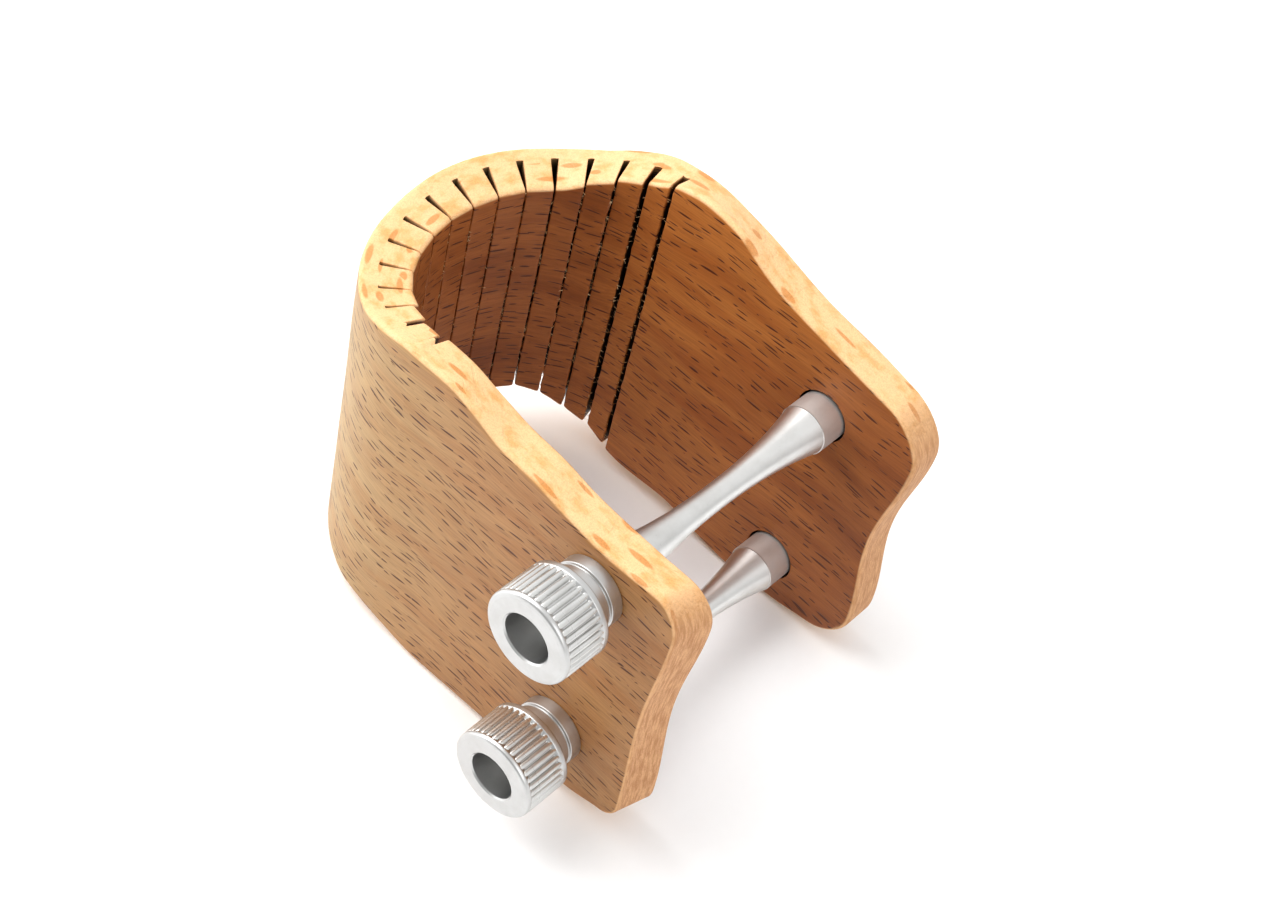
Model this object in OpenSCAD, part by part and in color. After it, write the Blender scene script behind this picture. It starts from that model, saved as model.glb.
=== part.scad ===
// Saxophone ligature: a kerf-bent beech strap drawn closed by two thumb screws.
// +Z is the mouthpiece axis, the bend is at +Y and the clamping ears point to -Y.
// The thumb screws turn about X and stand on the near arm, the one at -X.
// The origin is on the bore axis, midway in height between the two thumb screws.

/* [Strap plan] */
// Radius of the mouthpiece bore inside the bend
bore_r = 12.8; // [12.2:0.1:13]
// Outer radius of the bend
bend_r = 18; // [17.6:0.1:18.4]
// Distance from the bore axis to each arm's outer face
arm_reach = 17.6; // [17.2:0.1:18]
// Thickness of the two arms, which are a little thinner than the bend
arm_t = 4.2; // [3.8:0.1:4.6]
// Distance from the bore axis to the tips of the near ear
near_ear_reach = 31.6; // [30.5:0.1:33]
// Distance from the bore axis to the tips of the far ear
far_ear_reach = 32.4; // [30.5:0.1:33]

/* [Kerfs] */
// Number of saw kerfs that let the strap bend
kerf_count = 16; // [12:2:16]
// Direction of the first kerf, beside the near arm
first_kerf_angle = 175; // [172:0.5:178]
// Angle from each kerf to the next
kerf_pitch = 11.7; // [11:0.1:11.8]
// Solid wood left outside each kerf
web_t = 1.5; // [1.2:0.1:1.8]
// Kerf width beside the web, as sawn
kerf_root_w = 0.7; // [0.5:0.05:0.9]
// Kerf width at the bore, where the bend has closed it
kerf_mouth_w = 0.15; // [0.1:0.01:0.3]
// Kerf width at the bore for the two kerfs next to each arm
end_mouth_w = 0.45; // [0.2:0.05:0.6]

/* [Strap edges] */
// Upper edge of the near ear
near_ear_top = 15; // [14:0.2:17]
// Upper edge of the near shoulder, where the arm meets the bend
near_shoulder_top = 19.2; // [17:0.2:21]
// Upper edge of the far ear at its end
far_tip_top = 15.8; // [14:0.2:18]
// Upper edge of the far ear beside the shoulder
far_ear_top = 18.4; // [16:0.2:19]
// Upper edge of the far shoulder
far_shoulder_top = 23; // [20:0.2:25]
// Upper edge at the middle of the bend
back_top = 16.3; // [15:0.1:19]
// Lower edge of the near ear
near_ear_bottom = -16.4; // [-18:0.2:-15]
// Lower edge of the near shoulder
near_shoulder_bottom = -18.4; // [-20:0.2:-16]
// Lower edge of the far ear
far_ear_bottom = -15.8; // [-18:0.2:-15]
// Lower edge of the far shoulder
far_shoulder_bottom = -14.3; // [-16:0.2:-13.4]
// Lower edge of the bend on the near side
near_bend_bottom = -17; // [-18:0.2:-12]
// Lower edge of the bend on the far side
far_bend_bottom = -9.4; // [-13:0.2:-8]
// Lower edge at the middle of the bend
back_bottom = -12.6; // [-15:0.2:-8]
// Corner radius of the ears
ear_corner_r = 3.6; // [2:0.1:4.5]
// Depth of the hollow in the end of each ear
ear_hollow = 1.3; // [0.5:0.1:2]

/* [Screws and rods] */
// Distance from the bore axis to the plane of the rods
rod_reach = 22; // [21:0.1:24]
// Distance between the two rods
rod_spacing = 20.5; // [19:0.1:21]
// Diameter of the straight ends of a rod
rod_d = 5; // [4.8:0.1:5.2]
// Diameter of a rod's waist
waist_d = 2.4; // [2:0.1:3]
// Diameter of the holes through the arms
hole_d = 5.5; // [5.4:0.05:5.8]
// Diameter of the thumb screw's head
head_d = 9.2; // [8.5:0.1:10]
// Length of the thumb screw's head
head_len = 5.2; // [4.5:0.1:6]
// Diameter of the round recess in the head
recess_d = 4.8; // [4:0.1:5.2]
// Diameter of the collar that bears on the wood
collar_d = 6.7; // [6.2:0.1:7.4]
// Outer diameter of the thread
thread_d = 2.5; // [2.5:0.1:2.6]
// Number of ridges round the knurl
knurl_count = 38; // [30:2:44]

/* [Hidden] */
$fn = 96;

// Strap
arm_x = arm_reach - arm_t;
arm_taper_y = 3.5;
root_r = bend_r - web_t;
flex_kerf = kerf_count / 2 - 1;
flex_angle = first_kerf_angle - flex_kerf * kerf_pitch;
flex_gap = 0.04;
flex_mouth_w = 0.4;
edge_step = 1;
strap_low = near_shoulder_bottom - 2;
strap_high = far_shoulder_top + 2;

// Rod, along X through both arms
rod_far_x = arm_reach - 0.2;
rod_near_x = -arm_x - 1.8;
waist_x = -1.8;
taper_len = 12.4;
tap_r = thread_d / 2 + 0.25;
near_tap_x = -8.8;
far_tap_x = 8.8;
waist_steps = 28;

// Thumb screw, heights measured outwards from the near arm's outer face
seat_gap = 0.02;
collar_h = 1.5;
neck_d = 5.2;
neck_h = 2.2;
head_h = 3;
rim_len = 0.9;
rim_bevel = 0.35;
knurl_depth = 0.3;
recess_depth = 4;
shank_len = arm_t + 1.9;

// Cap screw on the far arm's outer face
cap_d = 8;
cap_h = 2.2;
cap_gap = 0.15;
cap_bevel = 0.6;
cap_thread_r = tap_r - 0.03;
cap_thread_len = 7;
socket_d = 3;
socket_depth = 1.4;

// Smooth step from a to b while y runs from y0 to y1
function ease(u) = (1 - cos(180 * max(0, min(1, u)))) / 2;
function ramp(y, y0, y1, a, b) = a + (b - a) * ease((y - y0) / (y1 - y0));

// Edge heights along each side of the strap: ear, shoulder, side and middle of the bend
function near_top(y) = y < -2
    ? ramp(y, -20, -2, near_ear_top, near_shoulder_top)
    : ramp(y, 0, bore_r, near_shoulder_top, back_top);
function near_bottom(y) = y < -8
    ? ramp(y, -32, -8, near_ear_bottom, near_shoulder_bottom)
    : y < bore_r ? ramp(y, -6, 6, near_shoulder_bottom, near_bend_bottom)
    : ramp(y, bore_r, bend_r, near_bend_bottom, back_bottom);
function far_top(y) = y < -16
    ? ramp(y, -33, -16, far_tip_top, far_ear_top)
    : y < -5 ? ramp(y, -16, -5, far_ear_top, far_shoulder_top)
    : ramp(y, -5, bore_r + 1, far_shoulder_top, back_top);
function far_bottom(y) = y < -4
    ? ramp(y, -18, -4, far_ear_bottom, far_shoulder_bottom)
    : y < bore_r ? ramp(y, -4, 10, far_shoulder_bottom, far_bend_bottom)
    : ramp(y, bore_r, bend_r, far_bend_bottom, back_bottom);

// Quarter turn of an ear's corner, from angle a0 to a1
function corner(y, z, a0, a1) = [
    for (i = [0:8]) let (a = a0 + (a1 - a0) * i / 8)
        [y + ear_corner_r * cos(a), z + ear_corner_r * sin(a)]
];

// Side view of one arm with its part of the bend, as [y, z] points
module side_outline(reach, top_edge, bottom_edge) {
    ear_y = -reach + ear_corner_r;
    z1 = top_edge[0][1] - ear_corner_r;
    z0 = bottom_edge[len(bottom_edge) - 1][1] + ear_corner_r;
    hollow = [
        for (i = [1:11]) let (u = i / 12)
            [-reach + ear_hollow * (1 - cos(360 * u)) / 2, z0 + (z1 - z0) * u]
    ];
    polygon(concat(
        top_edge, bottom_edge,
        corner(ear_y, z0, 270, 180), hollow, corner(ear_y, z1, 180, 90)
    ));
}

// Stations along Y where an arm's edges are worked out, from its ear to the bend
function stations(reach) = [
    for (y = [-reach + ear_corner_r:edge_step:bend_r - edge_step]) y,
    bend_r + 1
];
function reversed(list) = [for (i = [len(list) - 1:-1:0]) list[i]];

// The U of the bent strap, with its bore, kerfs and rod holes
module bent_strap() {
    difference() {
        translate([0, 0, strap_low]) linear_extrude(strap_high - strap_low) union() {
            circle(bend_r);
            translate([-arm_reach, -far_ear_reach]) square([2 * arm_reach, far_ear_reach]);
        }
        translate([0, 0, strap_low - 1]) cylinder(r = bore_r, h = strap_high - strap_low + 2);
        translate([0, 0, strap_low - 1])
            linear_extrude(strap_high - strap_low + 2) arm_gap();
        for (i = [0:kerf_count - 1]) kerf(i);
        for (side = [-1, 1]) rod_hole(side);
    }
}

// Room between the arms, which narrows to the bore where the bend starts
module arm_gap() {
    bend_x = sqrt(pow(bore_r, 2) - pow(arm_taper_y, 2));
    polygon([
        [-arm_x, -far_ear_reach - 1], [arm_x, -far_ear_reach - 1], [arm_x, 0],
        [bend_x, arm_taper_y], [-bend_x, arm_taper_y], [-arm_x, 0]
    ]);
}

// Mouth width of kerf i, counted from the near arm
function mouth_w(i) =
    i == flex_kerf ? flex_mouth_w
    : i < 2 || i > kerf_count - 3 ? end_mouth_w
    : kerf_mouth_w;

module kerf(i) {
    mouth = mouth_w(i) / 2;
    root = kerf_root_w / 2;
    rotate([0, 0, first_kerf_angle - i * kerf_pitch])
        translate([0, 0, strap_low - 1])
            linear_extrude(strap_high - strap_low + 2)
                polygon([
                    [bore_r - 1, -mouth], [bore_r, -mouth], [root_r, -root],
                    [root_r, root], [bore_r, mouth], [bore_r - 1, mouth]
                ]);
}

module rod_hole(side) {
    translate([-arm_reach - 1, -rod_reach, side * rod_spacing / 2])
        rotate([0, 90, 0]) cylinder(d = hole_d, h = 2 * arm_reach + 2);
}

// Half space on one side of the web where the strap flexes
module flex_side(side) {
    reach = 3 * bend_r;
    rotate([0, 0, flex_angle])
        translate([-reach, side > 0 ? flex_gap / 2 : -reach - flex_gap / 2, strap_low])
            cube([2 * reach, reach, strap_high - strap_low]);
}

module side_slab() {
    rotate([90, 0, 90]) translate([0, 0, -bend_r - 1])
        linear_extrude(2 * bend_r + 2) children();
}

module strap_near() {
    color("burlywood") intersection() {
        bent_strap();
        flex_side(1);
        side_slab() side_outline(
            near_ear_reach,
            [for (y = stations(near_ear_reach)) [y, near_top(y)]],
            reversed([for (y = stations(near_ear_reach)) [y, near_bottom(y)]])
        );
    }
}

module strap_far() {
    color("burlywood") intersection() {
        bent_strap();
        flex_side(-1);
        side_slab() side_outline(
            far_ear_reach,
            [for (y = stations(far_ear_reach)) [y, far_top(y)]],
            reversed([for (y = stations(far_ear_reach)) [y, far_bottom(y)]])
        );
    }
}

// Places a turned piece, drawn along +Z, with its axis along X in the rods' plane
module on_axis(side, x, turn) {
    translate([x, -rod_reach, side * rod_spacing / 2]) rotate([0, turn, 0]) children();
}

// Radius of the waisted rod at a distance from its waist
waist_curve_r = (pow(taper_len, 2) + pow((rod_d - waist_d) / 2, 2)) / (rod_d - waist_d);
function rod_r(along) = waist_d / 2 + waist_curve_r - sqrt(pow(waist_curve_r, 2) - pow(along, 2));

module tie_rod(side) {
    color("silver") difference() {
        on_axis(side, 0, 90) rotate_extrude() polygon(concat(
            [[0, rod_near_x], [rod_d / 2, rod_near_x]],
            [
                for (i = [0:waist_steps]) let (along = taper_len * (2 * i / waist_steps - 1))
                    [rod_r(along), waist_x + along]
            ],
            [[rod_d / 2, rod_far_x], [0, rod_far_x]]
        ));
        on_axis(side, rod_near_x - 1, 90) cylinder(r = tap_r, h = near_tap_x - rod_near_x + 1);
        on_axis(side, far_tap_x, 90) cylinder(r = tap_r, h = rod_far_x - far_tap_x + 1);
    }
}

module tie_rod_upper() {
    tie_rod(1);
}

module tie_rod_lower() {
    tie_rod(-1);
}

// Outline of the straight knurl
module knurl_outline() {
    crest = head_d / 2;
    root = crest - knurl_depth;
    step = 360 / knurl_count;
    polygon([
        for (i = [0:knurl_count - 1], p = [[0, crest], [0.3, crest], [0.65, root]])
            let (a = (i + p[0]) * step) p[1] * [cos(a), sin(a)]
    ]);
}

module thumb_screw(side) {
    rim_r = head_d / 2 - 0.05;
    front = head_h + head_len;
    color("silver") on_axis(side, -arm_reach - seat_gap, -90) difference() {
        union() {
            rotate_extrude() polygon([
                [0, -shank_len], [thread_d / 2, -shank_len], [thread_d / 2, 0],
                [collar_d / 2, 0], [collar_d / 2, collar_h - 0.3],
                [collar_d / 2 - 0.3, collar_h], [neck_d / 2, collar_h + 0.2],
                [neck_d / 2, neck_h], [neck_d / 2 + 0.5, head_h],
                [rim_r - rim_bevel, head_h], [rim_r, head_h + rim_bevel],
                [rim_r, head_h + rim_len], [rim_r - knurl_depth, head_h + rim_len],
                [rim_r - knurl_depth, front - rim_len], [rim_r, front - rim_len],
                [rim_r, front - rim_bevel], [rim_r - rim_bevel, front], [0, front]
            ]);
            translate([0, 0, head_h + rim_len])
                linear_extrude(head_len - 2 * rim_len) knurl_outline();
        }
        translate([0, 0, front - recess_depth]) cylinder(d = recess_d, h = recess_depth + 1);
    }
}

module thumb_screw_upper() {
    thumb_screw(1);
}

module thumb_screw_lower() {
    thumb_screw(-1);
}

module cap_screw(side) {
    color("gainsboro") on_axis(side, arm_reach + cap_gap, 90) difference() {
        rotate_extrude() polygon([
            [0, -cap_thread_len], [cap_thread_r, -cap_thread_len], [cap_thread_r, 0],
            [cap_d / 2, 0], [cap_d / 2, cap_h - cap_bevel],
            [cap_d / 2 - cap_bevel, cap_h], [0, cap_h]
        ]);
        translate([0, 0, cap_h - socket_depth])
            cylinder(d = socket_d, h = socket_depth + 1, $fn = 6);
    }
}

module cap_screw_upper() {
    cap_screw(1);
}

module cap_screw_lower() {
    cap_screw(-1);
}

strap_near();
strap_far();
tie_rod_upper();
tie_rod_lower();
thumb_screw_upper();
thumb_screw_lower();
cap_screw_upper();
cap_screw_lower();
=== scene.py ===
"""Saxophone ligature: a kerf-bent beech strap, two tie rods, two thumb screws, two cap screws."""
import logging
import math
from collections.abc import Callable, Sequence
from dataclasses import dataclass, field
from enum import Enum
from typing import Any, NamedTuple

import bpy
import numpy as np
from mathutils import Matrix, Vector


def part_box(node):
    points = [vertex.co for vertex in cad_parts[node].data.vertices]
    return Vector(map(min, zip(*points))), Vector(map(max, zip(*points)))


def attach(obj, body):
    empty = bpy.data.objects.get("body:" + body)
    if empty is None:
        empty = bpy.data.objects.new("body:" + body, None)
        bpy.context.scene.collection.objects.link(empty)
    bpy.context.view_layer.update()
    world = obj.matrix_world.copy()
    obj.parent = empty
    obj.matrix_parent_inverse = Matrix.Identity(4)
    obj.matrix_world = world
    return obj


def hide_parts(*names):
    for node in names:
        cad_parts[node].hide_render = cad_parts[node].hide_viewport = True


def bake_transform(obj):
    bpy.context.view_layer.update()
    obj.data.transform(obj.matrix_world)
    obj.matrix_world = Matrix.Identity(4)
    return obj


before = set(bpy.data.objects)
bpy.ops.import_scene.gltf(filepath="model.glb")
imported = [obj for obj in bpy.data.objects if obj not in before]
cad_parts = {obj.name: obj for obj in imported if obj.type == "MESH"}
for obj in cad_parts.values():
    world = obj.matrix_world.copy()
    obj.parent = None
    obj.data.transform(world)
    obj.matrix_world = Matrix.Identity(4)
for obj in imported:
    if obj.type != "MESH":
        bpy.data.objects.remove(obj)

LOG = logging.getLogger("ligature")
MM = 0.001
SEED = 7
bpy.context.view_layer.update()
UPPER, LOWER = "upper", "lower"
# The CAD's socket is 3 mm across its corners; this takes half of that to its flats
CORNER_TO_FLAT = 0.866
# Stands for no distance at all, where a lattice level is not near an edge
FAR = 99.0


class Layer(Enum):
    """Named float attributes that tell the strap's finish where it is on the wood, and where it
    paints shade in the kerfs and rod holes.
    """

    EDGE = "sanded_edge"
    # Painted shade: how dark the kerfs' walls and floors and the rod holes' walls are painted
    INNER = "inner_side"
    KERF_SHADE = "kerf_shade"
    END = "end_grain"


# ---------------------------------------------------------------- node trees and colours


def linear(hex_colour: str) -> tuple[float, float, float, float]:
    """Turns an sRGB hex colour into a linear one.

    Args:
        hex_colour: the colour as "#RRGGBB".

    Returns:
        Linear red, green, blue and an alpha of 1.
    """
    parts = [int(hex_colour[i:i + 2], 16) / 255 for i in (1, 3, 5)]
    r, g, b = (c / 12.92 if c <= 0.04045 else ((c + 0.055) / 1.055) ** 2.4 for c in parts)
    return (r, g, b, 1.0)


def add(tree: bpy.types.NodeTree, kind: str, settings: dict[str, Any] | None = None,
        inputs: dict[Any, Any] | None = None) -> bpy.types.Node:
    """Adds one node with its settings, values and links.

    Args:
        tree: the node tree it goes into.
        kind: the node's type name.
        settings: attributes of the node itself.
        inputs: values or sockets, by input name or number.

    Returns:
        The new node.
    """
    node = tree.nodes.new(kind)
    for name, value in (settings or {}).items():
        setattr(node, name, value)
    for key, value in (inputs or {}).items():
        if isinstance(value, bpy.types.NodeSocket):
            tree.links.new(value, node.inputs[key])
        else:
            node.inputs[key].default_value = value
    return node


def maths(tree: bpy.types.NodeTree, operation: str, *values: Any) -> bpy.types.NodeSocket:
    """Returns the result of a Math node on numbers or sockets."""
    node = add(tree, "ShaderNodeMath", {"operation": operation}, dict(enumerate(values)))
    return node.outputs[0]


def vectors(tree: bpy.types.NodeTree, operation: str, *values: Any) -> bpy.types.NodeSocket:
    """Returns the result of a Vector Math node on vectors or sockets."""
    node = add(tree, "ShaderNodeVectorMath", {"operation": operation}, dict(enumerate(values)))
    return node.outputs[0]


def smooth(tree: bpy.types.NodeTree, value: Any, low: float, high: float,
           to_low: float = 0.0, to_high: float = 1.0) -> bpy.types.NodeSocket:
    """Returns a smooth step of value from to_low at low to to_high at high."""
    node = add(tree, "ShaderNodeMapRange", {"interpolation_type": "SMOOTHSTEP"},
               {"Value": value, "From Min": low, "From Max": high,
                "To Min": to_low, "To Max": to_high})
    return node.outputs["Result"]


def blend_colour(tree: bpy.types.NodeTree, factor: Any, a: Any, b: Any,
                 kind: str = "MIX") -> bpy.types.NodeSocket:
    """Returns colours a and b mixed by factor, with the given blend kind."""
    node = add(tree, "ShaderNodeMix", {"data_type": "RGBA", "blend_type": kind},
               {0: factor, 6: a, 7: b})
    return node.outputs[2]


def noise(tree: bpy.types.NodeTree, vector: Any, detail: float = 2.0,
          roughness: float = 0.5) -> bpy.types.NodeSocket:
    """Returns noise of unit scale at a vector already scaled to its pattern."""
    node = add(tree, "ShaderNodeTexNoise", {"noise_dimensions": "3D"},
               {"Vector": vector, "Scale": 1.0, "Detail": detail, "Roughness": roughness})
    return node.outputs[0]


def new_material(name: str) -> tuple[bpy.types.Material, bpy.types.NodeTree, bpy.types.Node]:
    """Makes a material and returns it with its tree and its shader node."""
    material = bpy.data.materials.new(name)
    material.use_nodes = True
    tree = material.node_tree
    tree.nodes.clear()
    shader = add(tree, "ShaderNodeBsdfPrincipled")
    add(tree, "ShaderNodeOutputMaterial", None, {"Surface": shader.outputs[0]})
    return material, tree, shader


def new_tree(name: str, inputs: dict[str, str]
             ) -> tuple[bpy.types.GeometryNodeTree, bpy.types.NodeOutputs]:
    """Makes a Geometry Nodes tree with a geometry input and output and named inputs.

    Args:
        name: the tree's name.
        inputs: kind of socket, such as Float, by input name.

    Returns:
        The tree and the sockets of its inputs.
    """
    tree = bpy.data.node_groups.new(name, "GeometryNodeTree")
    face = tree.interface
    face.new_socket("Geometry", in_out="INPUT", socket_type="NodeSocketGeometry")
    for title, kind in inputs.items():
        face.new_socket(title, in_out="INPUT", socket_type=f"NodeSocket{kind}")
    face.new_socket("Geometry", in_out="OUTPUT", socket_type="NodeSocketGeometry")
    return tree, add(tree, "NodeGroupInput").outputs


def grow(holder: bpy.types.Object, tree: bpy.types.GeometryNodeTree, values: dict[str, Any],
         name: str) -> bpy.types.Object:
    """Runs a tree on an object and returns the result as a plain mesh object.

    Args:
        holder: the object that the tree starts from, which is used up.
        tree: the Geometry Nodes tree.
        values: the tree's inputs, by name.
        name: name of the plain object.

    Returns:
        The plain object, at the origin.
    """
    modifier = holder.modifiers.new(tree.name, "NODES")
    modifier.node_group = tree
    for item in tree.interface.items_tree:
        if item.in_out == "INPUT" and item.name in values:
            modifier[item.identifier] = values[item.name]
    return bake(holder, name)


# ---------------------------------------------------------------- finishes


@dataclass(frozen=True)
class OiledBeech:
    """Steamed European beech, sawn, bent at its kerfs, sanded and oiled.

    The wide faces are flat-sawn, so they show short dark ray flecks along the grain. The sanded
    edges are quarter-sawn: pale, with broad orange flecks. The oil leaves a low satin sheen.
    """

    # Painted sheen and shade: the first two colours paint the outer face paler round the bend as a
    # sheen, the next two paint it darker towards the ears as shade
    outer: str = "#B79868"
    outer_warm: str = "#B18A58"
    ear: str = "#A9794A"
    shaded_ear_warm: str = "#9F693A"
    # The inner faces' colours are darker and redder than the outer face: partly the inner wood's
    # own tone, partly painted shade inside the U
    inner: str = "#9C5A2A"
    inner_warm: str = "#82451D"
    # Painted light: a lighter colour for the far arm's inner face, fading out towards its ear
    lit_far_inner: str = "#B97134"
    lit_far_inner_warm: str = "#A35B26"
    edge: str = "#EFBF8A"
    edge_warm: str = "#DDA565"
    fleck: str = "#C77F3C"
    pore: str = "#4E240E"
    end: str = "#D2A073"
    end_dark: str = "#AF7A4E"
    # Painted shade: near black for the kerfs' walls and floors and the rod holes' walls
    kerf: str = "#1C0F09"
    roughness: float = 0.46
    # Ray flecks on the wide faces: 1 to 3 mm long and 0.1 mm wide, about 1 mm apart.
    # They are drawn 0.1 to 0.25 mm wide, as coarse as they need to be to show.
    ray_cell: tuple[float, float, float] = (3.0, 1.0, 2.2)
    ray_half_length: float = 1.0
    ray_half_width: float = 0.088
    # Short thin flecks between them
    fine_cell: tuple[float, float, float] = (2.4, 0.6, 1.4)
    fine_half_length: float = 0.55
    fine_half_width: float = 0.05
    fine_offset: tuple[float, float, float] = (31.0, 17.3, 3.0)
    # Broad flecks on the sanded edges, about 2.5 mm long and 0.6 mm wide
    broad_cell: tuple[float, float, float] = (4.6, 7.0, 1.7)
    broad_half_length: float = 1.3
    broad_half_width: float = 0.3
    relief: float = 0.03 * MM
    # How often each pattern repeats in a millimetre along, up and into the plank
    wander_rate: tuple[float, float, float] = (0.07, 0.16, 0.2)
    fibre_rate: tuple[float, float, float] = (0.22, 5.5, 5.5)
    tone_rate: tuple[float, float, float] = (0.05, 0.33, 0.3)
    grit_rate: tuple[float, float, float] = (7.0, 7.0, 7.0)
    mottle_rate: tuple[float, float, float] = (0.45, 0.9, 0.9)
    layer_rate: tuple[float, float, float] = (3.0, 0.5, 4.0)
    # How far the grain wanders up and down, and the station at the middle of the bend
    wander_height: float = 3.0
    back_at: float = 28.0

    def flecks(self, tree: bpy.types.NodeTree, plank: bpy.types.NodeSocket,
               cell: tuple[float, float, float], across: int, half_length: float,
               half_width: float, kept: float) -> bpy.types.NodeSocket:
        """Draws one set of spindle-shaped flecks that lie along the plank.

        Args:
            tree: the material's node tree.
            plank: position along, up and into the plank, in millimetres.
            cell: room for one fleck along, up and into the plank.
            across: which axis the fleck's width lies on, 1 for up and 2 for into the plank.
            half_length: half the length of a fleck.
            half_width: half its width.
            kept: share of the cells that hold a fleck.

        Returns:
            A socket that is 1 inside a fleck and 0 outside.
        """
        scaled = vectors(tree, "DIVIDE", plank, cell)
        cells = add(tree, "ShaderNodeTexVoronoi", None,
                    {"Vector": scaled, "Scale": 1.0, "Randomness": 0.95})
        away = vectors(tree, "MULTIPLY", vectors(tree, "SUBTRACT", scaled,
                                                 cells.outputs["Position"]), cell)
        parts = add(tree, "ShaderNodeSeparateXYZ", None, {0: away})
        chance = add(tree, "ShaderNodeSeparateColor", None, {0: cells.outputs["Color"]})
        length = maths(tree, "MULTIPLY_ADD", chance.outputs[0], half_length, 0.45 * half_length)
        width = maths(tree, "MULTIPLY_ADD", chance.outputs[1], 0.8 * half_width, 0.6 * half_width)
        u = maths(tree, "DIVIDE", parts.outputs[0], length)
        v = maths(tree, "DIVIDE", parts.outputs[across], width)
        reach = maths(tree, "ADD", maths(tree, "MULTIPLY", u, u), maths(tree, "MULTIPLY", v, v))
        inside = smooth(tree, reach, 1.1, 0.45)
        return maths(tree, "MULTIPLY", inside,
                     maths(tree, "LESS_THAN", chance.outputs[2], kept))

    def make(self) -> bpy.types.Material:
        """Builds the material."""
        material, tree, shader = new_material("oiled_beech")
        read = {layer: add(tree, "ShaderNodeAttribute", {"attribute_name": layer.value})
                .outputs["Fac"] for layer in Layer}
        plank = add(tree, "ShaderNodeAttribute", {"attribute_name": "plank"}).outputs["Vector"]
        wander = noise(tree, vectors(tree, "MULTIPLY", plank, self.wander_rate), 1.0)
        drift = add(tree, "ShaderNodeCombineXYZ", None,
                    {1: maths(tree, "MULTIPLY", wander, self.wander_height)}).outputs[0]
        grain_at = vectors(tree, "ADD", plank, drift)
        rays = self.flecks(tree, grain_at, self.ray_cell, 1, self.ray_half_length,
                           self.ray_half_width, 0.94)
        fine = self.flecks(tree, vectors(tree, "ADD", grain_at, self.fine_offset),
                           self.fine_cell, 1, self.fine_half_length, self.fine_half_width, 0.6)
        broad = self.flecks(tree, grain_at, self.broad_cell, 2, self.broad_half_length,
                            self.broad_half_width, 0.4)
        fibre = noise(tree, vectors(tree, "MULTIPLY", grain_at, self.fibre_rate), 3.0, 0.6)
        tone = noise(tree, vectors(tree, "MULTIPLY", grain_at, self.tone_rate), 2.0)
        grit = noise(tree, vectors(tree, "MULTIPLY", plank, self.grit_rate), 2.0, 0.7)
        mottle = noise(tree, vectors(tree, "MULTIPLY", plank, self.mottle_rate), 3.0, 0.6)

        banded = smooth(tree, tone, 0.35, 0.7)
        outer = blend_colour(tree, banded, linear(self.outer), linear(self.outer_warm))
        ear = blend_colour(tree, banded, linear(self.ear), linear(self.shaded_ear_warm))
        along = add(tree, "ShaderNodeSeparateXYZ", None, {0: plank}).outputs[0]
        from_back = maths(tree, "ABSOLUTE", maths(tree, "SUBTRACT", along, self.back_at))
        # Painted sheen and shade: the outer face goes from the paler bend colour to the darker ear
        # colour
        outer = blend_colour(tree, smooth(tree, from_back, 10.0, 45.0), outer, ear)
        inner = blend_colour(tree, banded, linear(self.inner), linear(self.inner_warm))
        far = blend_colour(tree, banded, linear(self.lit_far_inner), linear(self.lit_far_inner_warm))
        # Painted light: the far arm's inner face is lighter than the staves' from the bend's end,
        # fading out towards its ear
        lit_far_arm = maths(tree, "MULTIPLY", smooth(tree, along, 46.0, 57.0),
                     smooth(tree, along, 86.0, 64.0))
        inner = blend_colour(tree, lit_far_arm, inner, far)
        # The inner half of the thickness takes the darker inner colours, which hold painted shade
        # as well as the wood's tone
        side = smooth(tree, read[Layer.INNER], 0.4, 0.6)
        face = blend_colour(tree, side, outer, inner)
        streak = smooth(tree, fibre, 0.3, 0.7, 0.82, 1.08)
        face = blend_colour(tree, 1.0, face, streak, "MULTIPLY")
        dark = maths(tree, "MAXIMUM", rays, maths(tree, "MULTIPLY", fine, 0.28))
        face = blend_colour(tree, maths(tree, "MULTIPLY", dark, 0.97), face, linear(self.pore))

        edge = blend_colour(tree, smooth(tree, mottle, 0.42, 0.72), linear(self.edge),
                            linear(self.edge_warm))
        edge = blend_colour(tree, maths(tree, "MULTIPLY", broad, 0.75), edge,
                            linear(self.fleck))
        speckle = smooth(tree, grit, 0.3, 0.65, 0.84, 1.05)
        edge = blend_colour(tree, 1.0, edge, speckle, "MULTIPLY")
        layered = noise(tree, vectors(tree, "MULTIPLY", plank, self.layer_rate), 3.0, 0.7)
        end = blend_colour(tree, smooth(tree, layered, 0.35, 0.65), linear(self.end_dark),
                           linear(self.end))
        end = blend_colour(tree, smooth(tree, grit, 0.45, 0.7, 0.0, 0.5), end,
                           linear(self.end_dark))
        edge = blend_colour(tree, read[Layer.END], edge, end)

        colour = blend_colour(tree, smooth(tree, read[Layer.EDGE], 0.12, 0.62), face, edge)
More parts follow.
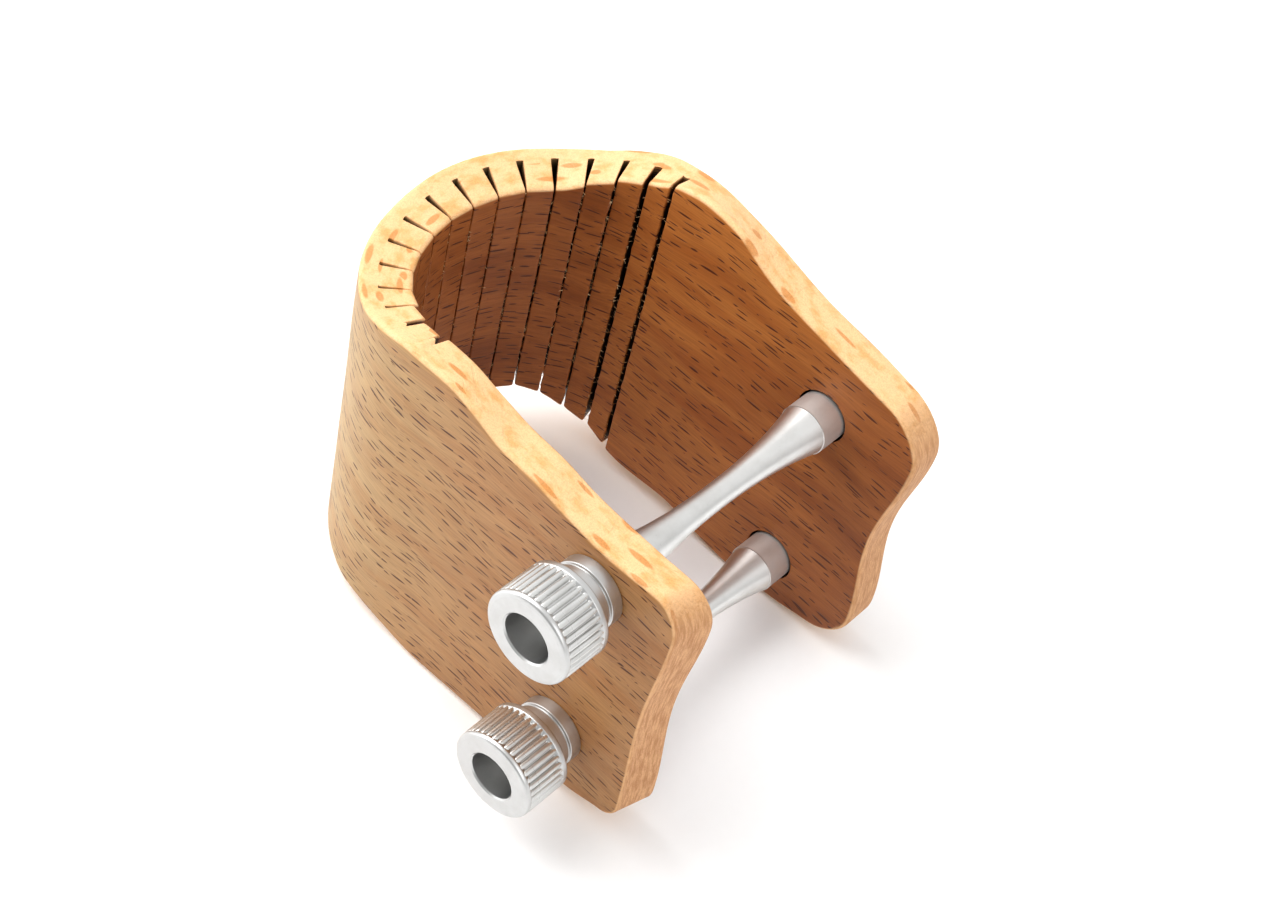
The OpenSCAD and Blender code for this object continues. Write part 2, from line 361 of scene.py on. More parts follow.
        # Painted shade in the kerfs and rod holes
        colour = blend_colour(tree, smooth(tree, read[Layer.KERF_SHADE], 0.35, 0.9), colour,
                              linear(self.kerf))
        tree.links.new(colour, shader.inputs["Base Color"])
        rough = maths(tree, "MULTIPLY_ADD", grit, 0.14, self.roughness - 0.07)
        rough = maths(tree, "ADD", rough, maths(tree, "MULTIPLY", read[Layer.END], 0.2))
        tree.links.new(rough, shader.inputs["Roughness"])
        shader.inputs["Specular IOR Level"].default_value = 0.3
        height = maths(tree, "SUBTRACT", maths(tree, "MULTIPLY", fibre, 0.5),
                       maths(tree, "MULTIPLY", dark, 0.9))
        coarse = maths(tree, "MULTIPLY", maths(tree, "MULTIPLY", grit, read[Layer.END]), 1.6)
        bump = add(tree, "ShaderNodeBump", None,
                   {"Distance": self.relief, "Strength": 0.9,
                    "Height": maths(tree, "ADD", height, coarse)})
        tree.links.new(bump.outputs[0], shader.inputs["Normal"])
        return material


@dataclass(frozen=True)
class TurnedMetal:
    """Bar stock turned on a lathe: fine rings round the axis and a satin shine."""

    name: str
    colour: str
    dull: str
    roughness: float
    # Beyond this X, in millimetres, the metal is plainer and duller, as at the rods' far ends
    dull_beyond: float = 1000.0
    # Feed marks are about 0.05 mm apart; they are drawn 0.16 mm apart so that they show
    ring_spacing: float = 0.16
    relief: float = 0.004 * MM

    def make(self) -> bpy.types.Material:
        """Builds the material."""
        material, tree, shader = new_material(self.name)
        place = add(tree, "ShaderNodeTexCoord").outputs["Object"]
        at = vectors(tree, "MULTIPLY", place, (1 / MM, 1 / MM, 1 / MM))
        parts = add(tree, "ShaderNodeSeparateXYZ", None, {0: at})
        axis_y, axis_z = rod_axis()
        dy = maths(tree, "SUBTRACT", parts.outputs[1], axis_y)
        dz = maths(tree, "SUBTRACT", maths(tree, "ABSOLUTE", parts.outputs[2]), axis_z)
        radius = maths(tree, "SQRT", maths(tree, "ADD", maths(tree, "MULTIPLY", dy, dy),
                                           maths(tree, "MULTIPLY", dz, dz)))
        line = maths(tree, "ADD", parts.outputs[0], radius)
        ring_at = add(tree, "ShaderNodeCombineXYZ", None,
                      {0: maths(tree, "DIVIDE", line, self.ring_spacing)}).outputs[0]
        rings = noise(tree, ring_at, 2.0, 0.7)
        stain = noise(tree, vectors(tree, "MULTIPLY", at, (0.35, 0.5, 0.5)), 3.0, 0.6)
        pits = noise(tree, vectors(tree, "MULTIPLY", at, (3.2, 3.2, 3.2)), 2.0, 0.6)
        colour = blend_colour(tree, smooth(tree, stain, 0.35, 0.75, 0.0, 0.35),
                              linear(self.colour), linear(self.dull))
        colour = blend_colour(tree, smooth(tree, pits, 0.68, 0.8, 0.0, 0.35), colour,
                              linear(self.dull))
        tree.links.new(colour, shader.inputs["Base Color"])
        plain = smooth(tree, maths(tree, "SUBTRACT", parts.outputs[0], self.dull_beyond),
                       0.0, 0.05)
        tree.links.new(maths(tree, "MULTIPLY_ADD", plain, -0.15, 1.0),
                       shader.inputs["Metallic"])
        rough = maths(tree, "MULTIPLY_ADD", rings, 0.16, self.roughness - 0.08)
        rough = maths(tree, "ADD", rough, maths(tree, "MULTIPLY", stain, 0.04))
        rough = maths(tree, "ADD", rough, maths(tree, "MULTIPLY", plain, 0.12))
        tree.links.new(rough, shader.inputs["Roughness"])
        bump = add(tree, "ShaderNodeBump", None,
                   {"Distance": self.relief, "Strength": 0.6,
                    "Height": maths(tree, "ADD", rings, maths(tree, "MULTIPLY", pits, 0.6))})
        tree.links.new(bump.outputs[0], shader.inputs["Normal"])
        return material


@dataclass(frozen=True)
class TornFibre:
    """Dry beech fibres that a saw tears loose, paler and duller than the oiled wood."""

    colour: str = "#F2D2A4"
    shade: str = "#C08A54"
    roughness: float = 0.8
    # Repeats to a metre, so the tone changes every 0.7 mm
    tone_rate: float = 1500.0

    def make(self) -> bpy.types.Material:
        """Builds the material."""
        material, tree, shader = new_material("torn_fibre")
        place = add(tree, "ShaderNodeTexCoord").outputs["Object"]
        tone = noise(tree, vectors(tree, "MULTIPLY", place, (self.tone_rate,) * 3), 1.0)
        tree.links.new(blend_colour(tree, smooth(tree, tone, 0.35, 0.65), linear(self.shade),
                                    linear(self.colour)), shader.inputs["Base Color"])
        shader.inputs["Roughness"].default_value = self.roughness
        return material


@dataclass(frozen=True)
class PlainPaper:
    """Matt white background paper, which only gives the eye a clean ground."""

    colour: str = "#F6F6F6"
    roughness: float = 0.9
    # Repeats to a metre, so the tooth is about 1 mm, coarse enough to show
    tooth_rate: float = 900.0

    def make(self) -> bpy.types.Material:
        """Builds the material."""
        material, tree, shader = new_material("white_paper")
        place = add(tree, "ShaderNodeTexCoord").outputs["Object"]
        tooth = noise(tree, vectors(tree, "MULTIPLY", place, (self.tooth_rate,) * 3), 2.0)
        shade = smooth(tree, tooth, 0.2, 0.8, 0.99, 1.0)
        colour = blend_colour(tree, 1.0, linear(self.colour), shade, "MULTIPLY")
        tree.links.new(colour, shader.inputs["Base Color"])
        shader.inputs["Roughness"].default_value = self.roughness
        shader.inputs["Specular IOR Level"].default_value = 0.1
        return material


def rod_axis() -> tuple[float, float]:
    """Returns the upper rod axis's Y and Z in millimetres, as the frame places it."""
    low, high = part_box("tie_rod_upper")
    return (low.y + high.y) / 2 / MM, (low.z + high.z) / 2 / MM


# ---------------------------------------------------------------- mesh helpers


def make_object(name: str, points: np.ndarray, faces: Sequence[Sequence[int]],
                material: bpy.types.Material, smooth_angle: float = 35.0) -> bpy.types.Object:
    """Makes a mesh object at the origin from points in millimetres.

    Args:
        name: the piece's name.
        points: N x 3 array in millimetres.
        faces: vertex numbers of each face.
        material: its finish.
        smooth_angle: edges sharper than this many degrees stay crisp.

    Returns:
        The new object.
    """
    mesh = bpy.data.meshes.new(name)
    mesh.from_pydata((np.asarray(points) * MM).tolist(), [], [list(map(int, f)) for f in faces])
    mesh.materials.append(material)
    mesh.polygons.foreach_set("use_smooth", [True] * len(mesh.polygons))
    mesh.set_sharp_from_angle(angle=math.radians(smooth_angle))
    mesh.update()
    made = bpy.data.objects.new(name, mesh)
    bpy.context.scene.collection.objects.link(made)
    return made


def rounded(points: Sequence[tuple[float, float, float]], steps: int = 5) -> np.ndarray:
    """Rounds the corners of an open outline.

    Args:
        points: (along, radius, corner radius) for each corner.
        steps: points to each rounded corner.

    Returns:
        N x 2 array of (along, radius).
    """
    out: list[np.ndarray] = []
    corners = [np.array(p[:2], float) for p in points]
    for i, corner in enumerate(corners):
        size = points[i][2]
        if size <= 0 or i in (0, len(corners) - 1):
            out.append(corner)
            continue
        back, ahead = corners[i - 1] - corner, corners[i + 1] - corner
        back, ahead = back / np.linalg.norm(back), ahead / np.linalg.norm(ahead)
        half = math.acos(float(np.clip(back @ ahead, -1, 1))) / 2
        reach = size / math.tan(half)
        a, b = corner + back * reach, corner + ahead * reach
        for k in range(steps + 1):
            t = k / steps
            out.append((1 - t) ** 2 * a + 2 * t * (1 - t) * corner + t * t * b)
    return np.array(out)


def lathe(profile: np.ndarray, sides: int = 128,
          shape: Callable[[int, np.ndarray], np.ndarray] | None = None
          ) -> tuple[np.ndarray, list[list[int]]]:
    """Turns a profile about the X axis; its two ends lie on the axis.

    Args:
        profile: N x 2 array of (x, radius) whose first and last radius are 0.
        sides: number of flats round the axis.
        shape: gives the radius factor of ring i at each angle, for rings that are not round.

    Returns:
        Points and faces, wound outwards when x grows along the profile.
    """
    turn = np.arange(sides) * 2 * math.pi / sides
    rings = profile[1:-1]
    points = [[profile[0][0], 0.0, 0.0]]
    for i, (x, r) in enumerate(rings):
        scale = np.ones(sides) if shape is None else shape(i + 1, turn)
        points += [[x, r * k * math.cos(a), r * k * math.sin(a)] for a, k in zip(turn, scale)]
    points.append([profile[-1][0], 0.0, 0.0])
    faces: list[list[int]] = []
    last = len(points) - 1
    for k in range(sides):
        n = (k + 1) % sides
        faces.append([0, 1 + n, 1 + k])
        for i in range(len(rings) - 1):
            a, b = 1 + i * sides, 1 + (i + 1) * sides
            faces.append([a + k, a + n, b + n, b + k])
        top = 1 + (len(rings) - 1) * sides
        faces.append([top + k, top + n, last])
    return np.array(points), faces


def place(points: np.ndarray, centre: tuple[float, float, float],
          facing: int) -> np.ndarray:
    """Sets turned points on their axis, facing +X or -X.

    Args:
        points: N x 3 array drawn along +X from the origin.
        centre: where the origin goes, in millimetres.
        facing: 1 to keep +X, -1 to turn half round about Z.

    Returns:
        The placed points.
    """
    return points * np.array([facing, facing, 1]) + np.array(centre)


def box_mm(node: str) -> tuple[np.ndarray, np.ndarray]:
    """Returns a CAD node's lowest and highest corners in millimetres."""
    low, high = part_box(node)
    return np.array(low) / MM, np.array(high) / MM


# ---------------------------------------------------------------- strap


@dataclass(frozen=True)
class Stations:
    """A smooth line through a few (distance along the strap, value) stations, in millimetres."""

    points: tuple[tuple[float, float], ...]

    def at(self, where: np.ndarray) -> np.ndarray:
        """Reads the line.

        Args:
            where: distances along the strap.

        Returns:
            The value at each, with no overshoot between stations.
        """
        x, y = np.array(self.points, float).T
        step, slope = np.diff(x), np.diff(y) / np.diff(x)
        tangent = np.zeros_like(x)
        same = slope[1:] * slope[:-1] > 0
        tangent[1:-1][same] = 2 / (1 / slope[1:][same] + 1 / slope[:-1][same])
        tangent[0], tangent[-1] = slope[0], slope[-1]
        w = np.clip(np.asarray(where, float), x[0], x[-1])
        i = np.clip(np.searchsorted(x, w) - 1, 0, len(step) - 1)
        t = (w - x[i]) / step[i]
        return ((2 * t**3 - 3 * t**2 + 1) * y[i] + (t**3 - 2 * t**2 + t) * step[i] * tangent[i]
                + (3 * t**2 - 2 * t**3) * y[i + 1] + (t**3 - t**2) * step[i] * tangent[i + 1])


class Column(NamedTuple):
    """One column of the strap's mesh, with its plan points and its place.

    Shell, root and mouth lie on the outer face, at root depth and on the inner face. Then come
    the distance along the strap, the distance from the nearest kerf wall, and whether the column
    stands in a kerf's gap.
    """

    shell: np.ndarray
    root: np.ndarray
    mouth: np.ndarray
    s: float
    from_wall: float
    in_gap: bool


@dataclass
class Lattice:
    """The strap as a block of nodes, counted along it, into it and up it.

    The first rows are one value to a column: plan points, distance along the strap, distance
    from a kerf wall, whether it stands in a gap, the wood outside the root, the depth of the
    stave and the whole thickness. Tau holds the depth shares and level the level numbers.
    Column, share and rise are the three numbers of each node.
    """

    shell: np.ndarray
    root: np.ndarray
    mouth: np.ndarray
    s: np.ndarray
    wall: np.ndarray
    in_gap: np.ndarray
    web: np.ndarray
    body: np.ndarray
    thick: np.ndarray
    tau: np.ndarray
    level: np.ndarray
    column: np.ndarray
    share: np.ndarray
    rise: np.ndarray


@dataclass
class BeechStrap:
    """The strap: one plank, kerfed, bent to a U, and sanded by hand to its wavy outline.

    Distances along the strap start at 0 where the near arm meets the bend. Heights are the
    frame's. Depth runs from the outer face inwards.
    """

    finish: OiledBeech = field(default_factory=OiledBeech)
    arm_reach: float = 17.6
    bend_r: float = 18.0
    arm_thickness: float = 4.2
    kerf_count: int = 16
    first_kerf: float = 175.0
    kerf_pitch: float = 11.7
    round_over: float = 0.5
    kerf_round: float = 0.1
    stave_foot_round: float = 0.45
    hole_r: float = 2.75
    rod_y: float = -22.0
    rod_z: float = 10.25
    near_corner: float = 3.4
    near_low_corner: float = 2.3
    near_slant: float = 0.9
    far_corner: float = 4.2
    near_hollow: float = 0.9
    far_hollow: float = 1.3
    # How far from its end an ear's hollow and slant fade out
    ear_fade: float = 7.0
    # Stations below this belong to the near arm's half, and the far end of the bend is at 58
    near_half: float = 20.0
    far_station: float = 58.0
    # Lattice levels of the lower round-over, the two rod holes' sides and the upper round-over
    level_marks: tuple[int, ...] = (4, 12, 22, 50, 60, 66)
    blend_half: float = 13.0 * MM
    # Fibres to a square millimetre, and the size of each; real ones are finer than can show
    fibre_density: float = 4.5
    fibre_length: float = 0.34
    fibre_radius: float = 0.03
    # Heights of the four long edges, with 0 to 56 round the bend
    top_outer: Stations = Stations((
        (-32, 14.6), (-28, 15.0), (-23, 14.9), (-18, 15.5), (-13.6, 16.5), (-9.9, 16.9),
        (-5.7, 18.4), (-3, 19.1), (1.5, 19.2), (6, 18.2), (10, 17.0), (15, 16.2), (22, 16.1),
        (30, 17.2), (37, 17.9), (42, 18.3), (46, 19.1), (50, 20.7), (54, 22.1), (58, 22.5),
        (64, 21.4), (73, 18.8), (80, 17.4), (85, 16.2), (89, 15.4)))
    top_inner: Stations = Stations((
        (-32, 14.4), (-23, 14.7), (-18, 15.2), (-13.6, 16.1), (-9.9, 16.5), (-5.7, 17.5),
        (-2, 18.4), (1.6, 18.6), (5, 18.1), (9, 17.1), (13, 16.2), (20, 15.9), (29, 16.3),
        (37, 17.0), (42, 17.4), (46, 18.8), (50, 20.2), (54, 21.4), (57.5, 22.9), (60, 23.3),
        (63.8, 22.8), (66.3, 21.6), (68.4, 20.5), (71.2, 19.5), (76, 18.4), (81, 17.3),
        (85, 16.4), (89, 15.4)))
    bottom: Stations = Stations((
        (-32, -16.0), (-29, -16.3), (-24.9, -17.2), (-13.4, -18.1), (-5, -18.4), (3, -17.2),
        (12, -17.0), (18, -16.4), (24, -14.6), (31, -12.3), (37, -10.6), (42, -9.9), (46, -10.5),
        (49.5, -11.7), (53, -12.7), (56, -14.0), (59, -14.5), (64, -14.3), (69.5, -15.3),
        (74, -15.9), (80, -15.6), (84, -15.0), (89, -14.6)))
    web: Stations = Stations((
        (0, 2.6), (2, 2.6), (5.3, 2.1), (9, 1.6), (20, 1.55), (35, 1.5), (42, 1.25), (46, 1.4),
        (50, 1.8), (54, 2.1), (58, 2.1)))
    bore_r: Stations = Stations((
        (0, 13.55), (3.5, 13.75), (7, 13.45), (11, 13.05), (28, 13.0), (42, 12.95), (47, 13.05),
        (51, 13.3), (56, 13.5)))
    kerf_root: Stations = Stations((
        (0, 0.75), (2, 0.75), (6, 0.5), (9, 0.35), (13, 0.4), (20, 0.5), (28, 0.65), (36, 0.72),
        (42, 0.78), (46, 0.6), (50, 0.65), (54, 0.85), (58, 0.8)))
    kerf_mouth: Stations = Stations((
        (0, 0.8), (2, 0.8), (6, 0.5), (9, 0.1), (13, 0.06), (28, 0.1), (36, 0.1), (42, 0.16),
        (46, 0.14), (50, 0.22), (54, 0.6), (58, 0.55)))

    def __post_init__(self) -> None:
        """Reads the reach of both ears from the frame."""
        self.near_reach = -box_mm("strap_near")[0][1]
        self.far_reach = -box_mm("strap_far")[0][1]
        self.mean_r = self.bend_r - 0.2
        self.bend_length = math.pi * self.mean_r
        self.random = np.random.default_rng(SEED)

    # -- plan

    def kerf_at(self, i: int) -> tuple[float, float]:
        """Returns kerf i's angle in radians and its distance along the strap."""
        angle = math.radians(self.first_kerf - i * self.kerf_pitch)
        return angle, self.mean_r * (math.pi - angle)

    def outer_r(self, angle: np.ndarray) -> np.ndarray:
        """Returns the outer radius, which swells from the arms into the bend."""
        off = np.clip(np.minimum(angle, math.pi - angle) / math.radians(25), 0, 1)
        return self.arm_reach + (self.bend_r - self.arm_reach) * off * off * (3 - 2 * off)

    def wall(self, i: int, side: int) -> tuple[np.ndarray, np.ndarray, np.ndarray]:
        """Places one wall of a kerf in plan.

        Args:
            i: the kerf's number from the near arm.
            side: -1 for the wall nearer the near arm, 1 for the other.

        Returns:
            The wall's points on the outer face, at the kerf's root and at its mouth.
        """
        angle, s = self.kerf_at(i)
        along = np.array([math.cos(angle), math.sin(angle)])
        across = np.array([math.sin(angle), -math.cos(angle)]) * side
        outer = float(self.outer_r(np.array(angle)))
        root_r = outer - float(self.web.at(np.array(s)))
        first = i == 0 and side < 0
        last = i == self.kerf_count - 1 and side > 0
        inner_x = self.arm_reach - self.arm_thickness
        mouth_r = (inner_x / abs(math.cos(angle)) if first or last
                   else self.face_r(i if side > 0 else i - 1)
                   / math.cos(math.radians(self.kerf_pitch / 2)))
        root_w = float(self.kerf_root.at(np.array(s))) / 2
        mouth_w = float(self.kerf_mouth.at(np.array(s))) / 2
        tilt = math.atan2(root_w, root_r) * side
        shell = np.array([math.cos(angle - tilt), math.sin(angle - tilt)]) * outer
        return shell, along * root_r + across * root_w, along * mouth_r + across * mouth_w

    def face_r(self, stave: int) -> float:
        """Returns how far stave's flat inner face lies from the bore axis."""
        middle = (self.kerf_at(stave)[1] + self.kerf_at(stave + 1)[1]) / 2
        return float(self.bore_r.at(np.array(middle)))

    def columns(self) -> list[Column]:
        """Lays out the mesh's columns along the strap, from the near ear to the far ear."""
        out = self.arm_columns(-1, self.near_reach)
        for i in range(self.kerf_count):
            out += self.gap_columns(i)
            if i < self.kerf_count - 1:
                out += self.stave_columns(i)
        return out + self.arm_columns(1, self.far_reach)

    def arm_columns(self, side: int, reach: float) -> list[Column]:
        """Lays out one arm's columns.

        Args:
            side: -1 for the near arm, 1 for the far arm.
            reach: distance from the bend to the ear's end.

        Returns:
            The columns in the order that they have along the strap.
        """
        lead = [0.0, 0.04, 0.15, 0.3, self.round_over]
        foot = self.foot_steps()
        ends = self.wall(0 if side < 0 else self.kerf_count - 1, side)
        stop = min(end[1] for end in ends)
        hole = [self.rod_y + self.hole_r * (k / 4 - 1) for k in range(9)]
        marks = [-reach + d for d in lead]
        marks += list(np.linspace(marks[-1], hole[0], 13))[1:-1] + hole
        marks += list(np.linspace(hole[-1], stop - foot[-1], 34))[1:]
        marks += [stop - d for d in reversed(foot[:-1])]
        web = float(self.web.at(np.array(0.0 if side < 0 else self.far_station)))
        depths = [self.arm_reach, self.arm_reach - web, self.arm_reach - self.arm_thickness]
        rows = []
        for y in marks:
            # from 3 mm before the bend, columns lean over to meet the kerf's slanted wall
            lean = max(0.0, (y + 3) / (stop + 3))
            points = [np.array([side * (d + (abs(e[0]) - d) * lean**3),
                                y + (e[1] - stop) * lean]) for d, e in zip(depths, ends)]
            s = y if side < 0 else self.bend_length - y
            rows.append(Column(*points, s, stop - y, False))
        return rows if side < 0 else rows[::-1]

    def gap_columns(self, i: int) -> list[Column]:
        """Lays out the two columns of web that stand in kerf i's gap."""
        one, two = self.wall(i, -1), self.wall(i, 1)
        s = self.kerf_at(i)[1]
        room = float(self.kerf_root.at(np.array(s)))
        out = []
        for t in (1 / 3, 2 / 3):
            shell, root = (one[k] * (1 - t) + two[k] * t for k in (0, 1))
            shell = shell / np.linalg.norm(shell) * (np.linalg.norm(one[0]))
            root = root * (1 + 0.05 / np.linalg.norm(root))
            out.append(Column(shell, root, root, s + (t - 0.5) * room, 0.0, True))
        return out

    def stave_columns(self, i: int) -> list[Column]:
        """Lays out the columns of the stave between kerf i and the next."""
        foot = self.foot_steps()
        one, two = self.wall(i, 1), self.wall(i + 1, -1)
        s1, s2 = self.kerf_at(i)[1], self.kerf_at(i + 1)[1]
        s1 += float(self.kerf_root.at(np.array(s1))) / 2
        s2 -= float(self.kerf_root.at(np.array(s2))) / 2
        width = float(np.linalg.norm(two[1] - one[1]))
        inner = list(np.linspace(foot[-1], width - foot[-1], 5))[1:-1]
        out = []
        for d in foot + inner + [width - f for f in reversed(foot)]:
            t = d / width
            points = [one[k] * (1 - t) + two[k] * t for k in range(3)]
            angle = math.atan2(*points[0][::-1])
            points[0] = (points[0] / np.linalg.norm(points[0])
                         * float(self.outer_r(np.array(angle))))
            points[1] = points[1] * (1 + 4 * t * (1 - t) * 0.004)
            out.append(Column(*points, s1 + (s2 - s1) * t, min(d, width - d), False))
        return out

    def foot_steps(self) -> list[float]:
        """Returns the columns' distances from a kerf wall, where a stave's foot is rounded."""
        return [0.0, 0.05, 0.14, 0.28, self.stave_foot_round]

    # -- lattice

    def build(self) -> bpy.types.Object:
        """Builds the strap's mesh with its plank coordinates and layers, and dresses it."""
        columns = self.columns()
        shell, root, mouth, s, wall, in_gap = (np.array(part) for part in zip(*columns))
        n_web, n_stave = 3, 6
        tau = np.concatenate([np.linspace(0, 1, n_web + 1),
                              1 + np.linspace(0, 1, n_stave + 1)[1:]])
        edge = self.round_over * np.array([0, 0.08, 0.3, 0.6, 1.0])
        level, from_top, from_foot = self.levels(edge)
        # node numbers count along the strap, then into it, then up it
        shape = (len(s), len(tau), len(level))
        web = np.linalg.norm(root - shell, axis=1)
        body = np.where(in_gap, web * 2.2, np.linalg.norm(mouth - root, axis=1))
        thick = web + body
        c, t, z = np.meshgrid(np.arange(shape[0]), np.arange(shape[1]), np.arange(shape[2]),
                              indexing="ij")
        grid = Lattice(shell, root, mouth, s, wall, in_gap, web, body, thick, tau, level, c, t, z)
        depth = np.where(tau[t] <= 1, tau[t] * web[c], web[c] + (tau[t] - 1) * body[c])
        part = depth / thick[c]
        top = self.top_outer.at(s)[c] * (1 - part) + self.top_inner.at(s)[c] * part
        low = self.bottom.at(s)[c] + self.foot_jitter(s)[c]
        height = self.heights(grid, top, low, from_top, from_foot)

        # the ears' corners and hollow ends, then the rod holes
        end_gap = np.where(s < self.near_half, s + self.near_reach,
                           self.bend_length + self.far_reach - s)
        along, height, rim, end = self.ear(grid, end_gap, height, top, low)
        slant = np.where((s < self.near_half)[c], self.near_slant, 0)
        slant = slant * np.clip(1 - along / self.ear_fade, 0, 1) ** 2
        along, height = self.warp_hole(grid, along + slant * (1 - part), height)

        # the rounded edges pull both faces in, and each stave's own corners are eased
        pull = self.round_over - np.sqrt(np.maximum(
            self.round_over**2 - np.maximum(self.round_over - rim, 0) ** 2, 0))
        near_wall = np.maximum(self.kerf_round - wall[c], 0)
        ease = self.kerf_round - np.sqrt(np.maximum(self.kerf_round**2 - near_wall**2, 0))
        ease = np.where((tau[t] > 1) & ~in_gap[c], ease, 0)
        foot_near = np.maximum(self.stave_foot_round - wall[c], 0)
        foot = self.stave_foot_round - np.sqrt(np.maximum(
            self.stave_foot_round**2 - foot_near**2, 0))
        foot = np.where((tau[t] > 1) & (wall[c] < 5) & ~in_gap[c], foot, 0)
        wavy = 0.035 * (np.sin(0.55 * s[c] + 0.31 * height) + np.sin(0.23 * s[c] - 0.47 * height))
        inner_pull = pull + ease + np.where(tau[t] > 1, wavy, 0)
        depth = pull + wavy * 0.5 + depth / thick[c] * (thick[c] - pull - inner_pull)
        rise = np.clip(from_foot[z] + 1e-9, 0, 1)
        height = height + foot * np.exp(-np.minimum(height - low, 3) / 0.35)
        height = height - ease * np.exp(-np.minimum(top - height, 3) / 0.2) * np.minimum(rise, 1)

        point = self.to_space(grid, depth, along, height)
        self.rag(grid, point)
        return self.skin(grid, point, depth, height, rim, end, along)

    def levels(self, edge: np.ndarray) -> tuple[np.ndarray, ...]:
        """Sets the levels of the lattice from the bottom edge to the top edge.

        Args:
            edge: distances of the round-over's levels from an edge.

        Returns:
            Level numbers, then each level's distance from the top edge and from the bottom edge.
            Both are FAR where the level belongs to no round-over.
        """
        level = np.arange(self.level_marks[-1] + 5)
        from_foot = np.full(len(level), FAR)
        from_top = np.full(len(level), FAR)
        from_foot[:5] = edge
        from_top[-5:] = edge[::-1]
        return level, from_top, from_foot

    def heights(self, grid: Lattice, top: np.ndarray, low: np.ndarray, from_top: np.ndarray,
                from_foot: np.ndarray) -> np.ndarray:
        """Places every lattice level, with fixed heights beside the rod holes.

        Args:
            grid: the strap's lattice.
            top: top edge height at each node.
            low: bottom edge height at each node.
            from_top: each level's distance below the top edge.
            from_foot: each level's distance above the bottom edge.

        Returns:
            The height of each node.
        """
        s, c, z = grid.s, grid.column, grid.rise
        r, e = self.hole_r, self.round_over
        from_bend = np.where(s < self.near_half, -s, s - self.bend_length)
        arm = np.clip((from_bend - 4) / 11, 0, 1)
        arm = (arm * arm * (3 - 2 * arm))[c]
        marks = [low + e, -self.rod_z - r, -self.rod_z + r, self.rod_z - r, self.rod_z + r,
                 top - e]
        span = top - low - 2 * e
        levels = self.level_marks
        even = [low + e + span * (k - levels[0]) / (levels[-1] - levels[0]) for k in levels]
        fixed = [m * arm + v * (1 - arm) for m, v in zip(marks, even)]
        out = np.zeros_like(top)
        for i in range(len(levels) - 1):
            here = (z >= levels[i]) & (z <= levels[i + 1])
            t = (z - levels[i]) / (levels[i + 1] - levels[i])
            out = np.where(here, fixed[i] * (1 - t) + fixed[i + 1] * t, out)
        out = np.where(from_foot[z] < FAR, low + from_foot[z], out)
        return np.where(from_top[z] < FAR, top - from_top[z], out)

    def foot_jitter(self, s: np.ndarray) -> np.ndarray:
        """Returns how far each stave's sawn foot stands off the line, different for each stave."""
        out = np.zeros_like(s)
        offsets = self.random.uniform(-0.16, 0.16, self.kerf_count)
        for i in range(self.kerf_count - 1):
            a, b = self.kerf_at(i)[1], self.kerf_at(i + 1)[1]
            inside = (s > a) & (s < b)
            out = np.where(inside, offsets[i] + (s - (a + b) / 2) * offsets[i + 1] * 0.5, out)
        return out

    def ear(self, grid: Lattice, end_gap: np.ndarray, height: np.ndarray, top: np.ndarray,
            low: np.ndarray) -> tuple[np.ndarray, ...]:
        """Rounds the ears' corners and hollows their ends.

        Args:
            grid: the strap's lattice.
            end_gap: distance of each column from its ear's end.
            height: node heights before rounding.
            top: top edge height at each node.
            low: bottom edge height at each node.

        Returns:
            Distance from the ear's end, height, distance from the outline, and how far the
            outline there faces along the grain, for each node.
        """
        s, c = grid.s, grid.column
        near = (s < self.near_half)[c]
        r = np.where(near, np.where(height > 0, self.near_corner, self.near_low_corner),
                     self.far_corner)
        hollow = np.where(near, self.near_hollow, self.far_hollow)
        a = end_gap[c]
        down, up = top - height, height - low
        edge_gap = np.minimum(down, up)
        u = np.clip((r - a) / r, 0, 1)
        v = np.clip((r - edge_gap) / r, 0, 1)
        a2 = np.where(u > 0, r - r * u * np.sqrt(1 - v * v / 2), a)
        gap2 = np.where(v > 0, r - r * v * np.sqrt(1 - u * u / 2), edge_gap)
        gap2 = np.where(u > 0, gap2, edge_gap)
        a2 = np.where(v > 0, a2, a)
        height2 = np.where(down < up, top - gap2, low + gap2)
        qa, qb = np.maximum(r - a2, 0), np.maximum(r - gap2, 0)
        both = (qa > 0) & (qb > 0)
        rim = np.where(both, r - np.hypot(qa, qb), np.minimum(a2, gap2))
        end = np.where(both, qa / np.maximum(np.hypot(qa, qb), 1e-6),
                       np.where(a2 < gap2, 1.0, 0.0))
        w = np.clip((height2 - low - r) / np.maximum(top - low - 2 * r, 1), 0, 1)
        fade = np.clip(1 - a2 / self.ear_fade, 0, 1) ** 2
        return a2 + hollow * (1 - np.cos(2 * math.pi * w)) / 2 * fade, height2, rim, end

    def warp_hole(self, grid: Lattice, along: np.ndarray,
                  height: np.ndarray) -> tuple[np.ndarray, np.ndarray]:
        """Turns the square openings of the lattice into round rod holes.

        Args:
            grid: the strap's lattice.
            along: distance of each node from its ear's end.
            height: height of each node.

        Returns:
            The changed distances and heights.
        """
        near = grid.s < self.near_half
        reach = np.where(near, self.near_reach, self.far_reach)[grid.column]
        for z0 in (-self.rod_z, self.rod_z):
            dy, dz = along - (reach + self.rod_y), height - z0
            square = np.maximum(np.abs(dy), np.abs(dz))
            away = np.maximum(np.hypot(dy, dz), 1e-9)
            w = np.clip((1.6 - square / self.hole_r) / 0.6, 0, 1)
            w = np.where(square < self.hole_r * 1.6, w * w * (3 - 2 * w), 0)
            along = along + w * (dy * square / away - dy)
            height = height + w * (dz * square / away - dz)
        return along, height

